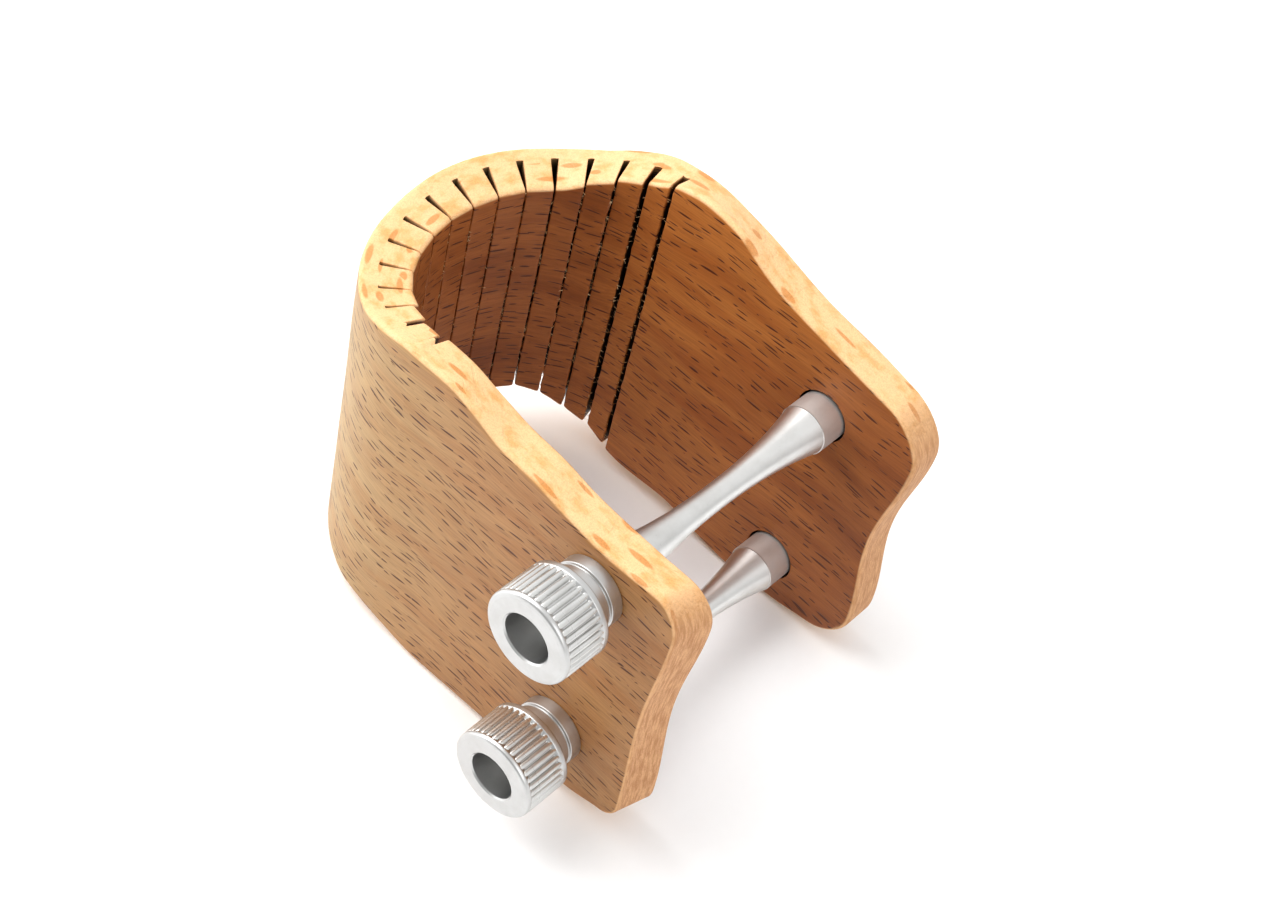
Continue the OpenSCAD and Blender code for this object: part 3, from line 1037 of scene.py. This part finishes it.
    def to_space(self, grid: Lattice, depth: np.ndarray, along: np.ndarray,
                 height: np.ndarray) -> np.ndarray:
        """Turns depth and height into points in the frame.

        Args:
            grid: the strap's lattice.
            depth: depth of each node from the outer face.
            along: distance of each node from its ear's end.
            height: height of each node.

        Returns:
            One point for each node, in millimetres.
        """
        shell, root, mouth, web, body = grid.shell, grid.root, grid.mouth, grid.web, grid.body
        s, c, in_gap = grid.s, grid.column, grid.in_gap
        outside = depth < web[c]
        skin_t = (depth / web[c])[..., None]
        core_t = ((depth - web[c]) / body[c])[..., None]
        over = root[c] + (root[c] - shell[c]) * (skin_t - 1)
        core = np.where(in_gap[c][..., None], over, root[c] * (1 - core_t) + mouth[c] * core_t)
        flat = np.where(outside[..., None], shell[c] * (1 - skin_t) + root[c] * skin_t, core)
        reach = np.where(s < self.near_half, self.near_reach, self.far_reach)
        base = np.where(s < self.near_half, s + self.near_reach,
                        self.bend_length + self.far_reach - s)
        moved = np.where((base < reach - 1)[c], along - base[c], 0)
        return np.stack([flat[..., 0], flat[..., 1] + moved, height], axis=-1)

    def rag(self, grid: Lattice, point: np.ndarray) -> None:
        """Roughens the sawn kerf walls a little, as a fine saw leaves them.

        Args:
            grid: the strap's lattice.
            point: the lattice points, changed in place.
        """
        wall, in_gap, tau = grid.wall, grid.in_gap, grid.tau
        c, t, z = grid.column, grid.share, grid.rise
        rough = self.random.normal(0, 1, point.shape[:3]) * np.where(tau[t] > 1.9, 0.045, 0.02)
        on_wall = (wall[c] < 0.01) & (tau[t] > 1) & ~in_gap[c] & (z > 4) & (z < z.max() - 4)
        angle = np.arctan2(point[..., 1], point[..., 0])
        point[..., 0] += np.where(on_wall, rough * np.sin(angle), 0)
        point[..., 1] -= np.where(on_wall, rough * np.cos(angle), 0)

    def solid_cells(self, grid: Lattice) -> np.ndarray:
        """Marks which cells of the lattice are wood.

        Args:
            grid: the strap's lattice.

        Returns:
            A boolean array, one entry to a cell.
        """
        s, in_gap, tau, level = grid.s, grid.in_gap, grid.tau, grid.level
        solid = np.ones((len(s) - 1, len(tau) - 1, len(level) - 1), bool)
        open_cell = in_gap[:-1] | in_gap[1:]
        solid[np.ix_(open_cell, tau[:-1] >= 1, np.ones(len(level) - 1, bool))] = False
        y = np.where(s < self.near_half, s, self.bend_length - s)
        middle = (y[:-1] + y[1:]) / 2
        beside = np.abs(middle - self.rod_y) < self.hole_r
        rows = np.zeros(len(level) - 1, bool)
        _, low, high, low2, high2, _ = self.level_marks
        rows[low:high] = True
        rows[low2:high2] = True
        solid[np.ix_(beside, np.ones(len(tau) - 1, bool), rows)] = False
        return solid

    def skin(self, grid: Lattice, point: np.ndarray, depth: np.ndarray, height: np.ndarray,
             rim: np.ndarray, end: np.ndarray, along: np.ndarray) -> bpy.types.Object:
        """Makes the mesh from the lattice's boundary and stores the finish's layers on it.

        Args:
            grid: the strap's lattice.
            point: lattice points.
            depth: depth of each node.
            height: height of each node.
            rim: distance of each node from the strap's outline.
            end: how far the outline faces along the grain.
            along: distance of each node from its ear's end.

        Returns:
            The finished strap.
        """
        s, wall, in_gap, thick = grid.s, grid.wall, grid.in_gap, grid.thick
        tau, c, t = grid.tau, grid.column, grid.share
        solid = self.solid_cells(grid)
        index = np.arange(point[..., 0].size).reshape(point.shape[:3])
        quads = []
        for axis in range(3):
            pad = [(0, 0)] * 3
            pad[axis] = (1, 1)
            full = np.pad(solid, pad)
            a = np.moveaxis(full, axis, 0)
            rise, fall = ~a[:-1] & a[1:], a[:-1] & ~a[1:]
            nodes = np.moveaxis(index, axis, 0)
            for mask, flip in ((rise, False), (fall, True)):
                i, j, k = np.nonzero(mask)
                q = np.stack([nodes[i, j, k], nodes[i, j, k + 1], nodes[i, j + 1, k + 1],
                              nodes[i, j + 1, k]], axis=1)
                if axis == 1:
                    flip = not flip
                quads.append(q[:, ::-1] if flip else q)
        faces = np.concatenate(quads)
        used, faces = np.unique(faces, return_inverse=True)
        faces = faces.reshape(-1, 4)
        flat = point.reshape(-1, 3)[used]
        a, b, d = flat[faces[:, 0]], flat[faces[:, 1]], flat[faces[:, 2]]
        if float(np.einsum("ij,ij->i", a, np.cross(b, d)).sum()) < 0:
            faces = faces[:, ::-1]
        strap = make_object("beech_strap", flat, faces, self.finish.make(), 32.0)

        # Painted shade: the kerfs' walls and floors and the rod holes' walls are darkened, less
        # near the top and bottom edges, at the mouths and on the outline
        on_wall = (wall[c] < 0.01) & (tau[t] >= 1)
        kerf = np.where(on_wall | (in_gap[c] & (tau[t] >= 1)), 1.0, 0.0)
        kerf = kerf * (1 - 0.5 * np.exp(-rim / 1.2))
        kerf = np.where((tau[t] >= 2) | (rim < 0.02), kerf * 0.4, kerf)
        hole = self.inside_hole(grid, along, height)
        kerf = np.maximum(kerf, np.where(hole & (tau[t] > 0) & (tau[t] < 2), 1.0, 0.0))
        layers = {
            Layer.EDGE: np.clip(1 - rim / self.round_over, 0, 1),
            Layer.INNER: depth / thick[c],
            Layer.KERF_SHADE: kerf,
            Layer.END: end * np.clip(1 - rim / self.round_over, 0, 1),
        }
        for layer, values in layers.items():
            store = strap.data.attributes.new(layer.value, "FLOAT", "POINT")
            store.data.foreach_set("value", values.reshape(-1)[used].astype(np.float32))
        plank = np.stack([s[c] + 0 * depth, height, depth], axis=-1).reshape(-1, 3)[used]
        store = strap.data.attributes.new("plank", "FLOAT_VECTOR", "POINT")
        store.data.foreach_set("vector", plank.astype(np.float32).ravel())
        return strap

    def inside_hole(self, grid: Lattice, along: np.ndarray, height: np.ndarray) -> np.ndarray:
        """Returns which nodes lie on the wall of a rod hole."""
        near = grid.s < self.near_half
        reach = np.where(near, self.near_reach, self.far_reach)[grid.column]
        dy, dz = along - (reach + self.rod_y), np.abs(height) - self.rod_z
        return np.hypot(dy, dz) < self.hole_r * 1.02

    def fibre_tree(self) -> bpy.types.GeometryNodeTree:
        """Builds the tree that scatters torn fibres over strips of sawn wood."""
        tree, given = new_tree("torn_fibres", {
            "Density": "Float", "Fibre length": "Float", "Fibre radius": "Float",
            "Finish": "Material"})
        spots = add(tree, "GeometryNodeDistributePointsOnFaces", {"distribute_method": "RANDOM"},
                    {"Mesh": given["Geometry"], "Density": given["Density"], "Seed": SEED})
        hair = add(tree, "GeometryNodeMeshCone", {"fill_type": "NGON"},
                   {"Vertices": 4, "Radius Top": maths(tree, "MULTIPLY",
                                                       given["Fibre radius"], 0.3),
                    "Radius Bottom": given["Fibre radius"], "Depth": given["Fibre length"]})
        lean = add(tree, "FunctionNodeRandomValue", {"data_type": "FLOAT_VECTOR"},
                   {0: (-0.9, -0.9, 0.0), 1: (0.9, 0.9, 6.28), "Seed": SEED + 1})
        turn = add(tree, "FunctionNodeRotateRotation", {"rotation_space": "LOCAL"},
                   {0: spots.outputs["Rotation"],
                    1: add(tree, "FunctionNodeEulerToRotation", None,
                           {0: lean.outputs[0]}).outputs[0]})
        size = add(tree, "FunctionNodeRandomValue", {"data_type": "FLOAT_VECTOR"},
                   {0: (0.6, 0.6, 0.4), 1: (1.2, 1.2, 1.3), "Seed": SEED + 2})
        many = add(tree, "GeometryNodeInstanceOnPoints", None,
                   {"Points": spots.outputs["Points"], "Instance": hair.outputs[0],
                    "Rotation": turn.outputs[0], "Scale": size.outputs[0]})
        real = add(tree, "GeometryNodeRealizeInstances", None, {0: many.outputs[0]})
        painted = add(tree, "GeometryNodeSetMaterial", None,
                      {"Geometry": real.outputs[0], "Material": given["Finish"]})
        add(tree, "NodeGroupOutput", None, {0: painted.outputs[0]})
        return tree

    def fibres(self) -> bpy.types.Object:
        """Makes the torn fibres that the saw left at the kerfs' mouths."""
        points: list[list[float]] = []
        faces: list[list[int]] = []
        for i in range(1, self.kerf_count):
            s = np.array(self.kerf_at(i)[1])
            top = float(self.top_inner.at(s)) - 0.4
            low = float(self.bottom.at(s)) + 0.6
            for side in (-1, 1):
                if i == self.kerf_count - 1 and side > 0:
                    inner_x = self.arm_reach - self.arm_thickness
                    spot = np.array([inner_x + 0.05, self.wall(i, side)[2][1] - 0.02])
                    inward = np.array([0.35, 0.0])
                else:
                    _, root, spot = self.wall(i, side)
                    inward = (root - spot) / np.linalg.norm(root - spot) * 0.35
                a, b = spot + inward * 0.1, spot + inward
                n = len(points)
                points += [[*a, low], [*a, top], [*b, top], [*b, low]]
                faces.append([n, n + 1, n + 2, n + 3] if side > 0 else [n + 3, n + 2, n + 1, n])
        fuzz = TornFibre().make()
        holder = make_object("fibre_seed", np.array(points), faces, fuzz)
        return grow(holder, self.fibre_tree(), {
            "Density": self.fibre_density / MM**2, "Fibre length": self.fibre_length * MM,
            "Fibre radius": self.fibre_radius * MM, "Finish": fuzz}, "kerf_fibres")

    def fit(self) -> list[bpy.types.Object]:
        """Builds the strap and its fibres, hides the CAD's strap halves and bakes both in place.
        """
        strap = self.build()
        fibres = self.fibres()
        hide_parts("strap_near", "strap_far")
        for piece in (strap, fibres):
            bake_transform(piece)
        return [strap, fibres]


# ---------------------------------------------------------------- metal pieces


@dataclass
class TieRod:
    """A waisted rod turned from aluminium bar, with straight ends in the arms' holes."""

    side: str
    finish: bpy.types.Material
    waist_r: float = 1.2
    end_r: float = 2.5
    far_straight: float = 10.6
    near_straight: float = 14.2
    bore_r: float = 1.5
    bore_to: float = 8.8
    steps: int = 40

    def profile(self) -> np.ndarray:
        """Returns the rod's (x, radius) outline, bored at both ends for the screws."""
        low, high = box_mm(f"tie_rod_{self.side}")
        start, stop = low[0], high[0]
        x = np.linspace(-self.near_straight, self.far_straight, 2 * self.steps + 1)
        middle = (self.far_straight - self.near_straight) / 2
        flare = np.abs(x - middle) / (self.far_straight - middle)
        waist = self.waist_r + (self.end_r - 0.06 - self.waist_r) * (
            0.72 * flare**2 + 0.28 * flare**3)
        out = [(-self.bore_to, 0.0), (-self.bore_to, self.bore_r), (start, self.bore_r),
               (start, self.end_r - 0.25), (start + 0.25, self.end_r),
               (-self.near_straight - 0.03, self.end_r)]
        out += [(a, b) for a, b in zip(x, waist)]
        out += [(self.far_straight + 0.03, self.end_r), (stop - 0.25, self.end_r),
                (stop, self.end_r - 0.25), (stop, self.bore_r), (self.bore_to, self.bore_r),
                (self.bore_to, 0.0)]
        return np.array(out)

    def build(self) -> bpy.types.Object:
        """Builds the rod and puts it on its body."""
        low, high = box_mm(f"tie_rod_{self.side}")
        points, faces = lathe(self.profile())
        centre = (0.0, (low[1] + high[1]) / 2, (low[2] + high[2]) / 2)
        rod = make_object(f"waisted_rod_{self.side}", place(points, centre, 1), faces,
                          self.finish, 12.0)
        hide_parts(f"tie_rod_{self.side}")
        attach(rod, f"{self.side}_rod")
        return rod


@dataclass
class ThumbScrew:
    """A thumb screw: a collar on the wood, a neck, and a knurled head with a deep recess."""

    side: str
    finish: bpy.types.Material
    bright: bpy.types.Material
    head_r: float = 4.6
    knurl_root_r: float = 4.2
    recess_r: float = 2.4
    recess_depth: float = 4.0
    head_from: float = 3.0
    head_to: float = 8.2
    collar_r: float = 3.32
    neck_r: float = 3.18
    shank_r: float = 1.25
    ridge_count: int = 38
    ridge_length: float = 4.8
    ridge_width: float = 0.6
    ridge_height: float = 0.68

    def profile(self, shank: float) -> np.ndarray:
        """Returns the screw's (height, radius) outline from the shank's tip to the recess.

        Args:
            shank: length of the shank below the collar.

        Returns:
            N x 2 array of (height, radius), with its corners rounded.
        """
        rim, back, front = self.head_r - 0.05, self.head_from, self.head_to
        root = self.knurl_root_r
        floor = front - self.recess_depth
        corners = [
            (-shank, 0, 0), (-shank, self.shank_r - 0.2, 0), (-shank + 0.2, self.shank_r, 0),
            (0, self.shank_r, 0), (0, self.collar_r - 0.12, 0.0), (0.12, self.collar_r, 0),
            (1.3, self.collar_r, 0.1), (1.42, self.neck_r - 0.1, 0.03),
            (1.55, self.neck_r, 0.05), (back + 0.05, self.neck_r, 0.05),
            (back + 0.05, rim - 0.04, 0.2), (back + 0.65, rim - 0.04, 0.15),
            (back + 0.95, root, 0.2), (front - 0.95, root, 0.3), (front - 0.5, rim - 0.06, 0.2),
            (front - 0.12, rim - 0.12, 0.38), (front, rim - 0.6, 0.25),
            (front, self.recess_r + 0.15, 0),
            (front - 0.15, self.recess_r, 0),
            (floor, self.recess_r, 0.25), (floor + 0.02, 0.5, 0), (floor + 0.02, 0, 0)]
        return rounded(corners)

    def knurl_tree(self) -> bpy.types.GeometryNodeTree:
        """Builds the tree that sets one ridge many times round the head."""
        tree, given = new_tree("straight_knurl", {
            "Root radius": "Float", "Ridge length": "Float", "Ridge width": "Float",
            "Ridge height": "Float", "Ridges": "Int", "Centre": "Vector",
            "Finish": "Material"})
        ball = add(tree, "GeometryNodeMeshUVSphere", None,
                   {"Segments": 12, "Rings": 12, "Radius": 1.0})
        parts = add(tree, "ShaderNodeSeparateXYZ", None,
                    {0: add(tree, "GeometryNodeInputPosition").outputs[0]}).outputs
        blunt = maths(tree, "MULTIPLY", maths(tree, "SIGN", parts[2]),
                      maths(tree, "POWER", maths(tree, "ABSOLUTE", parts[2]), 0.25))
        half = [maths(tree, "MULTIPLY", given[n], 0.5)
                for n in ("Ridge length", "Ridge width", "Ridge height")]
        turned = add(tree, "ShaderNodeCombineXYZ", None,
                     {0: maths(tree, "MULTIPLY", blunt, half[0]),
                      1: maths(tree, "MULTIPLY", parts[1], half[1]),
                      2: maths(tree, "MULTIPLY", maths(tree, "MULTIPLY", parts[0], -1.0),
                               half[2])})
        ridge = add(tree, "GeometryNodeSetPosition", None,
                    {"Geometry": ball.outputs[0], "Position": turned.outputs[0]})
        index = add(tree, "GeometryNodeInputIndex").outputs[0]
        angle = maths(tree, "DIVIDE", maths(tree, "MULTIPLY", index, 2 * math.pi),
                      given["Ridges"])
        spot = add(tree, "ShaderNodeCombineXYZ", None,
                   {1: maths(tree, "MULTIPLY", maths(tree, "COSINE", angle),
                             given["Root radius"]),
                    2: maths(tree, "MULTIPLY", maths(tree, "SINE", angle),
                             given["Root radius"])}).outputs[0]
        ring = add(tree, "GeometryNodePoints", None,
                   {"Count": given["Ridges"],
                    "Position": vectors(tree, "ADD", spot, given["Centre"])})
        lean = add(tree, "ShaderNodeCombineXYZ", None,
                   {0: maths(tree, "SUBTRACT", angle, math.pi / 2)}).outputs[0]
        turn = add(tree, "FunctionNodeEulerToRotation", None, {0: lean})
        wear = add(tree, "FunctionNodeRandomValue", {"data_type": "FLOAT_VECTOR"},
                   {0: (0.97, 0.9, 0.88), 1: (1.0, 1.06, 1.0), "Seed": SEED})
        many = add(tree, "GeometryNodeInstanceOnPoints", None,
                   {"Points": ring.outputs[0], "Instance": ridge.outputs[0],
                    "Rotation": turn.outputs[0], "Scale": wear.outputs[0]})
        real = add(tree, "GeometryNodeRealizeInstances", None, {0: many.outputs[0]})
        shade = add(tree, "GeometryNodeSetShadeSmooth", None, {0: real.outputs[0]})
        painted = add(tree, "GeometryNodeSetMaterial", None,
                      {"Geometry": shade.outputs[0], "Material": given["Finish"]})
        add(tree, "NodeGroupOutput", None, {0: painted.outputs[0]})
        return tree

    def knurl(self, centre: tuple[float, float, float]) -> bpy.types.Object:
        """Makes the ridges of the head as one plain mesh.

        Args:
            centre: middle of the ridges on the screw's axis, in millimetres.

        Returns:
            The ridges, placed in the frame.
        """
        tree = self.knurl_tree()
        holder = bpy.data.objects.new("knurl_seed", bpy.data.meshes.new("knurl_seed"))
        bpy.context.scene.collection.objects.link(holder)
        return grow(holder, tree, {
            "Root radius": self.knurl_root_r * MM, "Ridge length": self.ridge_length * MM,
            "Ridge width": self.ridge_width * MM, "Ridge height": self.ridge_height * MM,
            "Ridges": self.ridge_count, "Centre": [v * MM for v in centre],
            "Finish": self.bright}, f"knurl_{self.side}")

    def build(self) -> list[bpy.types.Object]:
        """Builds the screw and its knurl and puts them on their body."""
        low, high = box_mm(f"thumb_screw_{self.side}")
        seat = low[0] + self.head_to
        y, z = (low[1] + high[1]) / 2, (low[2] + high[2]) / 2
        points, faces = lathe(self.profile(high[0] - seat))
        head = make_object(f"thumb_screw_body_{self.side}", place(points, (seat, y, z), -1),
                           faces, self.finish, 30.0)
        middle = seat - (self.head_from + self.head_to) / 2
        ridges = self.knurl((middle, y, z))
        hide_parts(f"thumb_screw_{self.side}")
        for piece in (head, ridges):
            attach(piece, f"{self.side}_thumb_screw")
        return [head, ridges]


def bake(holder: bpy.types.Object, name: str) -> bpy.types.Object:
    """Turns a Geometry Nodes object into a plain mesh object.

    Args:
        holder: the object with the modifier, which is removed.
        name: name of the plain object.

    Returns:
        The plain object, at the origin.
    """
    bpy.context.view_layer.update()
    graph = bpy.context.evaluated_depsgraph_get()
    mesh = bpy.data.meshes.new_from_object(holder.evaluated_get(graph))
    mesh.name = name
    holder.modifiers.clear()
    bpy.data.objects.remove(holder)
    made = bpy.data.objects.new(name, mesh)
    bpy.context.scene.collection.objects.link(made)
    return made


@dataclass
class CapScrew:
    """A low round cap screw with a hexagon socket, on the far arm's outer face."""

    side: str
    finish: bpy.types.Material
    cap_r: float = 4.0
    cap_height: float = 2.2
    shank_r: float = 1.47
    socket_corners: float = 3.0
    socket_depth: float = 1.4

    def build(self) -> bpy.types.Object:
        """Builds the screw and puts it on its rod's body."""
        low, high = box_mm(f"cap_screw_{self.side}")
        seat = high[0] - self.cap_height
        y, z = (low[1] + high[1]) / 2, (low[2] + high[2]) / 2
        h, flat = self.cap_height, self.socket_corners / 2 * CORNER_TO_FLAT
        outline = rounded([
            (low[0] - seat, 0, 0), (low[0] - seat, self.shank_r - 0.2, 0),
            (low[0] - seat + 0.2, self.shank_r, 0), (0, self.shank_r, 0),
            (0, self.cap_r - 0.12, 0), (0.12, self.cap_r, 0), (h - 0.75, self.cap_r, 0.5),
            (h - 0.08, self.cap_r - 1.25, 0.6), (h, flat + 0.75, 0.3), (h, flat + 0.2, 0)])
        socket = np.array([(h - 0.08, flat), (h - self.socket_depth, flat),
                           (h - self.socket_depth - 0.35, 0.0)])
        profile = np.concatenate([outline, socket])
        first = len(profile) - len(socket)

        def shape(i: int, turn: np.ndarray) -> np.ndarray:
            """Gives the rings of the socket six sides.

            Args:
                i: the ring's number in the profile.
                turn: the angles round the axis.

            Returns:
                The radius factor at each angle.
            """
            if i < first - 1:
                return np.ones_like(turn)
            sixth = math.pi / 3
            return 1 / np.cos((turn + sixth / 2) % sixth - sixth / 2)

        points, faces = lathe(profile, 96, shape)
        screw = make_object(f"cap_screw_body_{self.side}", place(points, (seat, y, z), 1),
                            faces, self.finish, 30.0)
        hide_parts(f"cap_screw_{self.side}")
        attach(screw, f"{self.side}_rod")
        return screw


# ---------------------------------------------------------------- studio


@dataclass
class Studio:
    """Camera, soft lights and a pale floor, which lies against both arms' lower edges."""

    azimuth: float = -59.865
    elevation: float = 47.230
    roll: float = 16.139
    aim: tuple[float, float, float] = (4.907, -9.725, -0.591)
    distance: float = 198.86
    lens: float = 58.85
    floor_size: float = 4.0
    # The strap stands on its near arm and its far arm, whose lower edges are not level
    near_foot: tuple[float, float, float] = (-15.5, -8.0, -18.5)
    far_foot: tuple[float, float, float] = (15.5, -20.0, -16.0)
    floor_squares: int = 24

    def camera(self) -> bpy.types.Object:
        """Makes the camera."""
        az, el, roll = (math.radians(v) for v in (self.azimuth, self.elevation, self.roll))
        back = Vector((math.sin(az) * math.cos(el), -math.cos(az) * math.cos(el),
                       math.sin(el)))
        level = Vector((math.cos(az), math.sin(az), 0))
        upright = back.cross(level)
        right = level * math.cos(roll) + upright * math.sin(roll)
        up = upright * math.cos(roll) - level * math.sin(roll)
        data = bpy.data.cameras.new("camera")
        data.lens, data.sensor_width = self.lens, 36.0
        data.clip_start, data.clip_end = 0.01, 20.0
        camera = bpy.data.objects.new("camera", data)
        where = Vector(self.aim) * MM + back * self.distance * MM
        camera.matrix_world = Matrix.Translation(where) @ Matrix(
            (right, up, back)).transposed().to_4x4()
        bpy.context.scene.collection.objects.link(camera)
        bpy.context.scene.camera = camera
        return camera

    def floor(self) -> bpy.types.Object:
        """Makes the floor as a wide sheet that touches both feet."""
        a, b = np.array(self.near_foot), np.array(self.far_foot)
        forward = np.array([0.0, 1.0, 0.0])
        across = b - a
        across = across - forward * across[1]
        normal = np.cross(across, forward)
        normal /= np.linalg.norm(normal)
        normal *= np.sign(normal[2])
        u = across / np.linalg.norm(across)
        v = np.cross(normal, u)
        n = self.floor_squares
        grid = np.linspace(-0.5, 0.5, n + 1) * self.floor_size / MM
        points = np.array([a + u * x + v * y for y in grid for x in grid])
        faces = [[j * (n + 1) + i, j * (n + 1) + i + 1, (j + 1) * (n + 1) + i + 1,
                  (j + 1) * (n + 1) + i] for j in range(n) for i in range(n)]
        floor = make_object("paper_floor", points, faces, PlainPaper().make())
        return floor

    def lamp(self, name: str, direction: tuple[float, float, float], distance: float,
             size: float, power: float) -> None:
        """Makes one soft white square lamp that faces the object.

        Args:
            name: its name.
            direction: where it stands, seen from the object.
            distance: how far off, in metres.
            size: side of the lamp, in metres.
            power: in watts.
        """
        data = bpy.data.lights.new(name, "AREA")
        data.shape, data.size, data.energy = "SQUARE", size, power
        lamp = bpy.data.objects.new(name, data)
        away = Vector(direction).normalized()
        lamp.matrix_world = Matrix.Translation(away * distance) @ away.to_track_quat(
            "Z", "Y").to_matrix().to_4x4()
        bpy.context.scene.collection.objects.link(lamp)

    def world(self) -> None:
        """Fills the room with soft light, brighter from above than from the sides."""
        world = bpy.data.worlds.new("soft_room")
        world.use_nodes = True
        bpy.context.scene.world = world
        tree = world.node_tree
        tree.nodes.clear()
        aside, _, up = add(tree, "ShaderNodeSeparateXYZ", None,
                           {0: add(tree, "ShaderNodeTexCoord").outputs["Generated"]}).outputs
        level = maths(tree, "MULTIPLY", smooth(tree, up, -0.1, 0.9, 0.66, 1.06),
                      smooth(tree, aside, -0.9, 0.1, 0.62, 1.0))
        sky = add(tree, "ShaderNodeBackground", None,
                  {"Color": linear("#FFFFFF"), "Strength": level})
        add(tree, "ShaderNodeOutputWorld", None, {"Surface": sky.outputs[0]})

    def build(self) -> None:
        """Sets up the studio."""
        self.camera()
        self.floor()
        self.world()
        self.lamp("key", (-0.25, 0.8, 1.0), 0.5, 0.4, 2.4)
        self.lamp("left", (-0.55, 1.0, 0.35), 0.5, 0.4, 0.9)
        self.lamp("front", (-0.35, -1.0, 0.7), 0.6, 0.4, 0.9)
        view = bpy.context.scene.view_settings
        view.view_transform = "Standard"
        view.look = "None"


def main() -> None:
    """Builds every piece in order and reports each."""
    logging.basicConfig(level=logging.INFO, format="%(name)s: %(message)s")
    Studio().build()
    turned = TurnedMetal("turned_aluminium", "#E0E0DE", "#BAB8B4", 0.32, 10.63).make()
    # Painted shade: the thumb screw bodies take a darker copy of the aluminium of their knurls and
    # the rods
    satin = TurnedMetal("shaded_satin_aluminium", "#C8C8C7", "#B0AEAB", 0.34).make()
    bright = TurnedMetal("knurled_aluminium", "#DEDEDC", "#B4B2AE", 0.27).make()
    steel = TurnedMetal("turned_steel", "#B4B3B1", "#8E8C89", 0.34).make()
    pieces = BeechStrap().fit()
    for side in (UPPER, LOWER):
        pieces.append(TieRod(side, turned).build())
        pieces += ThumbScrew(side, satin, bright).build()
        pieces.append(CapScrew(side, steel).build())
    for piece in pieces:
        LOG.info("%s: %d vertices, %d faces", piece.name, len(piece.data.vertices),
                 len(piece.data.polygons))


if __name__ == "__main__":
    main()
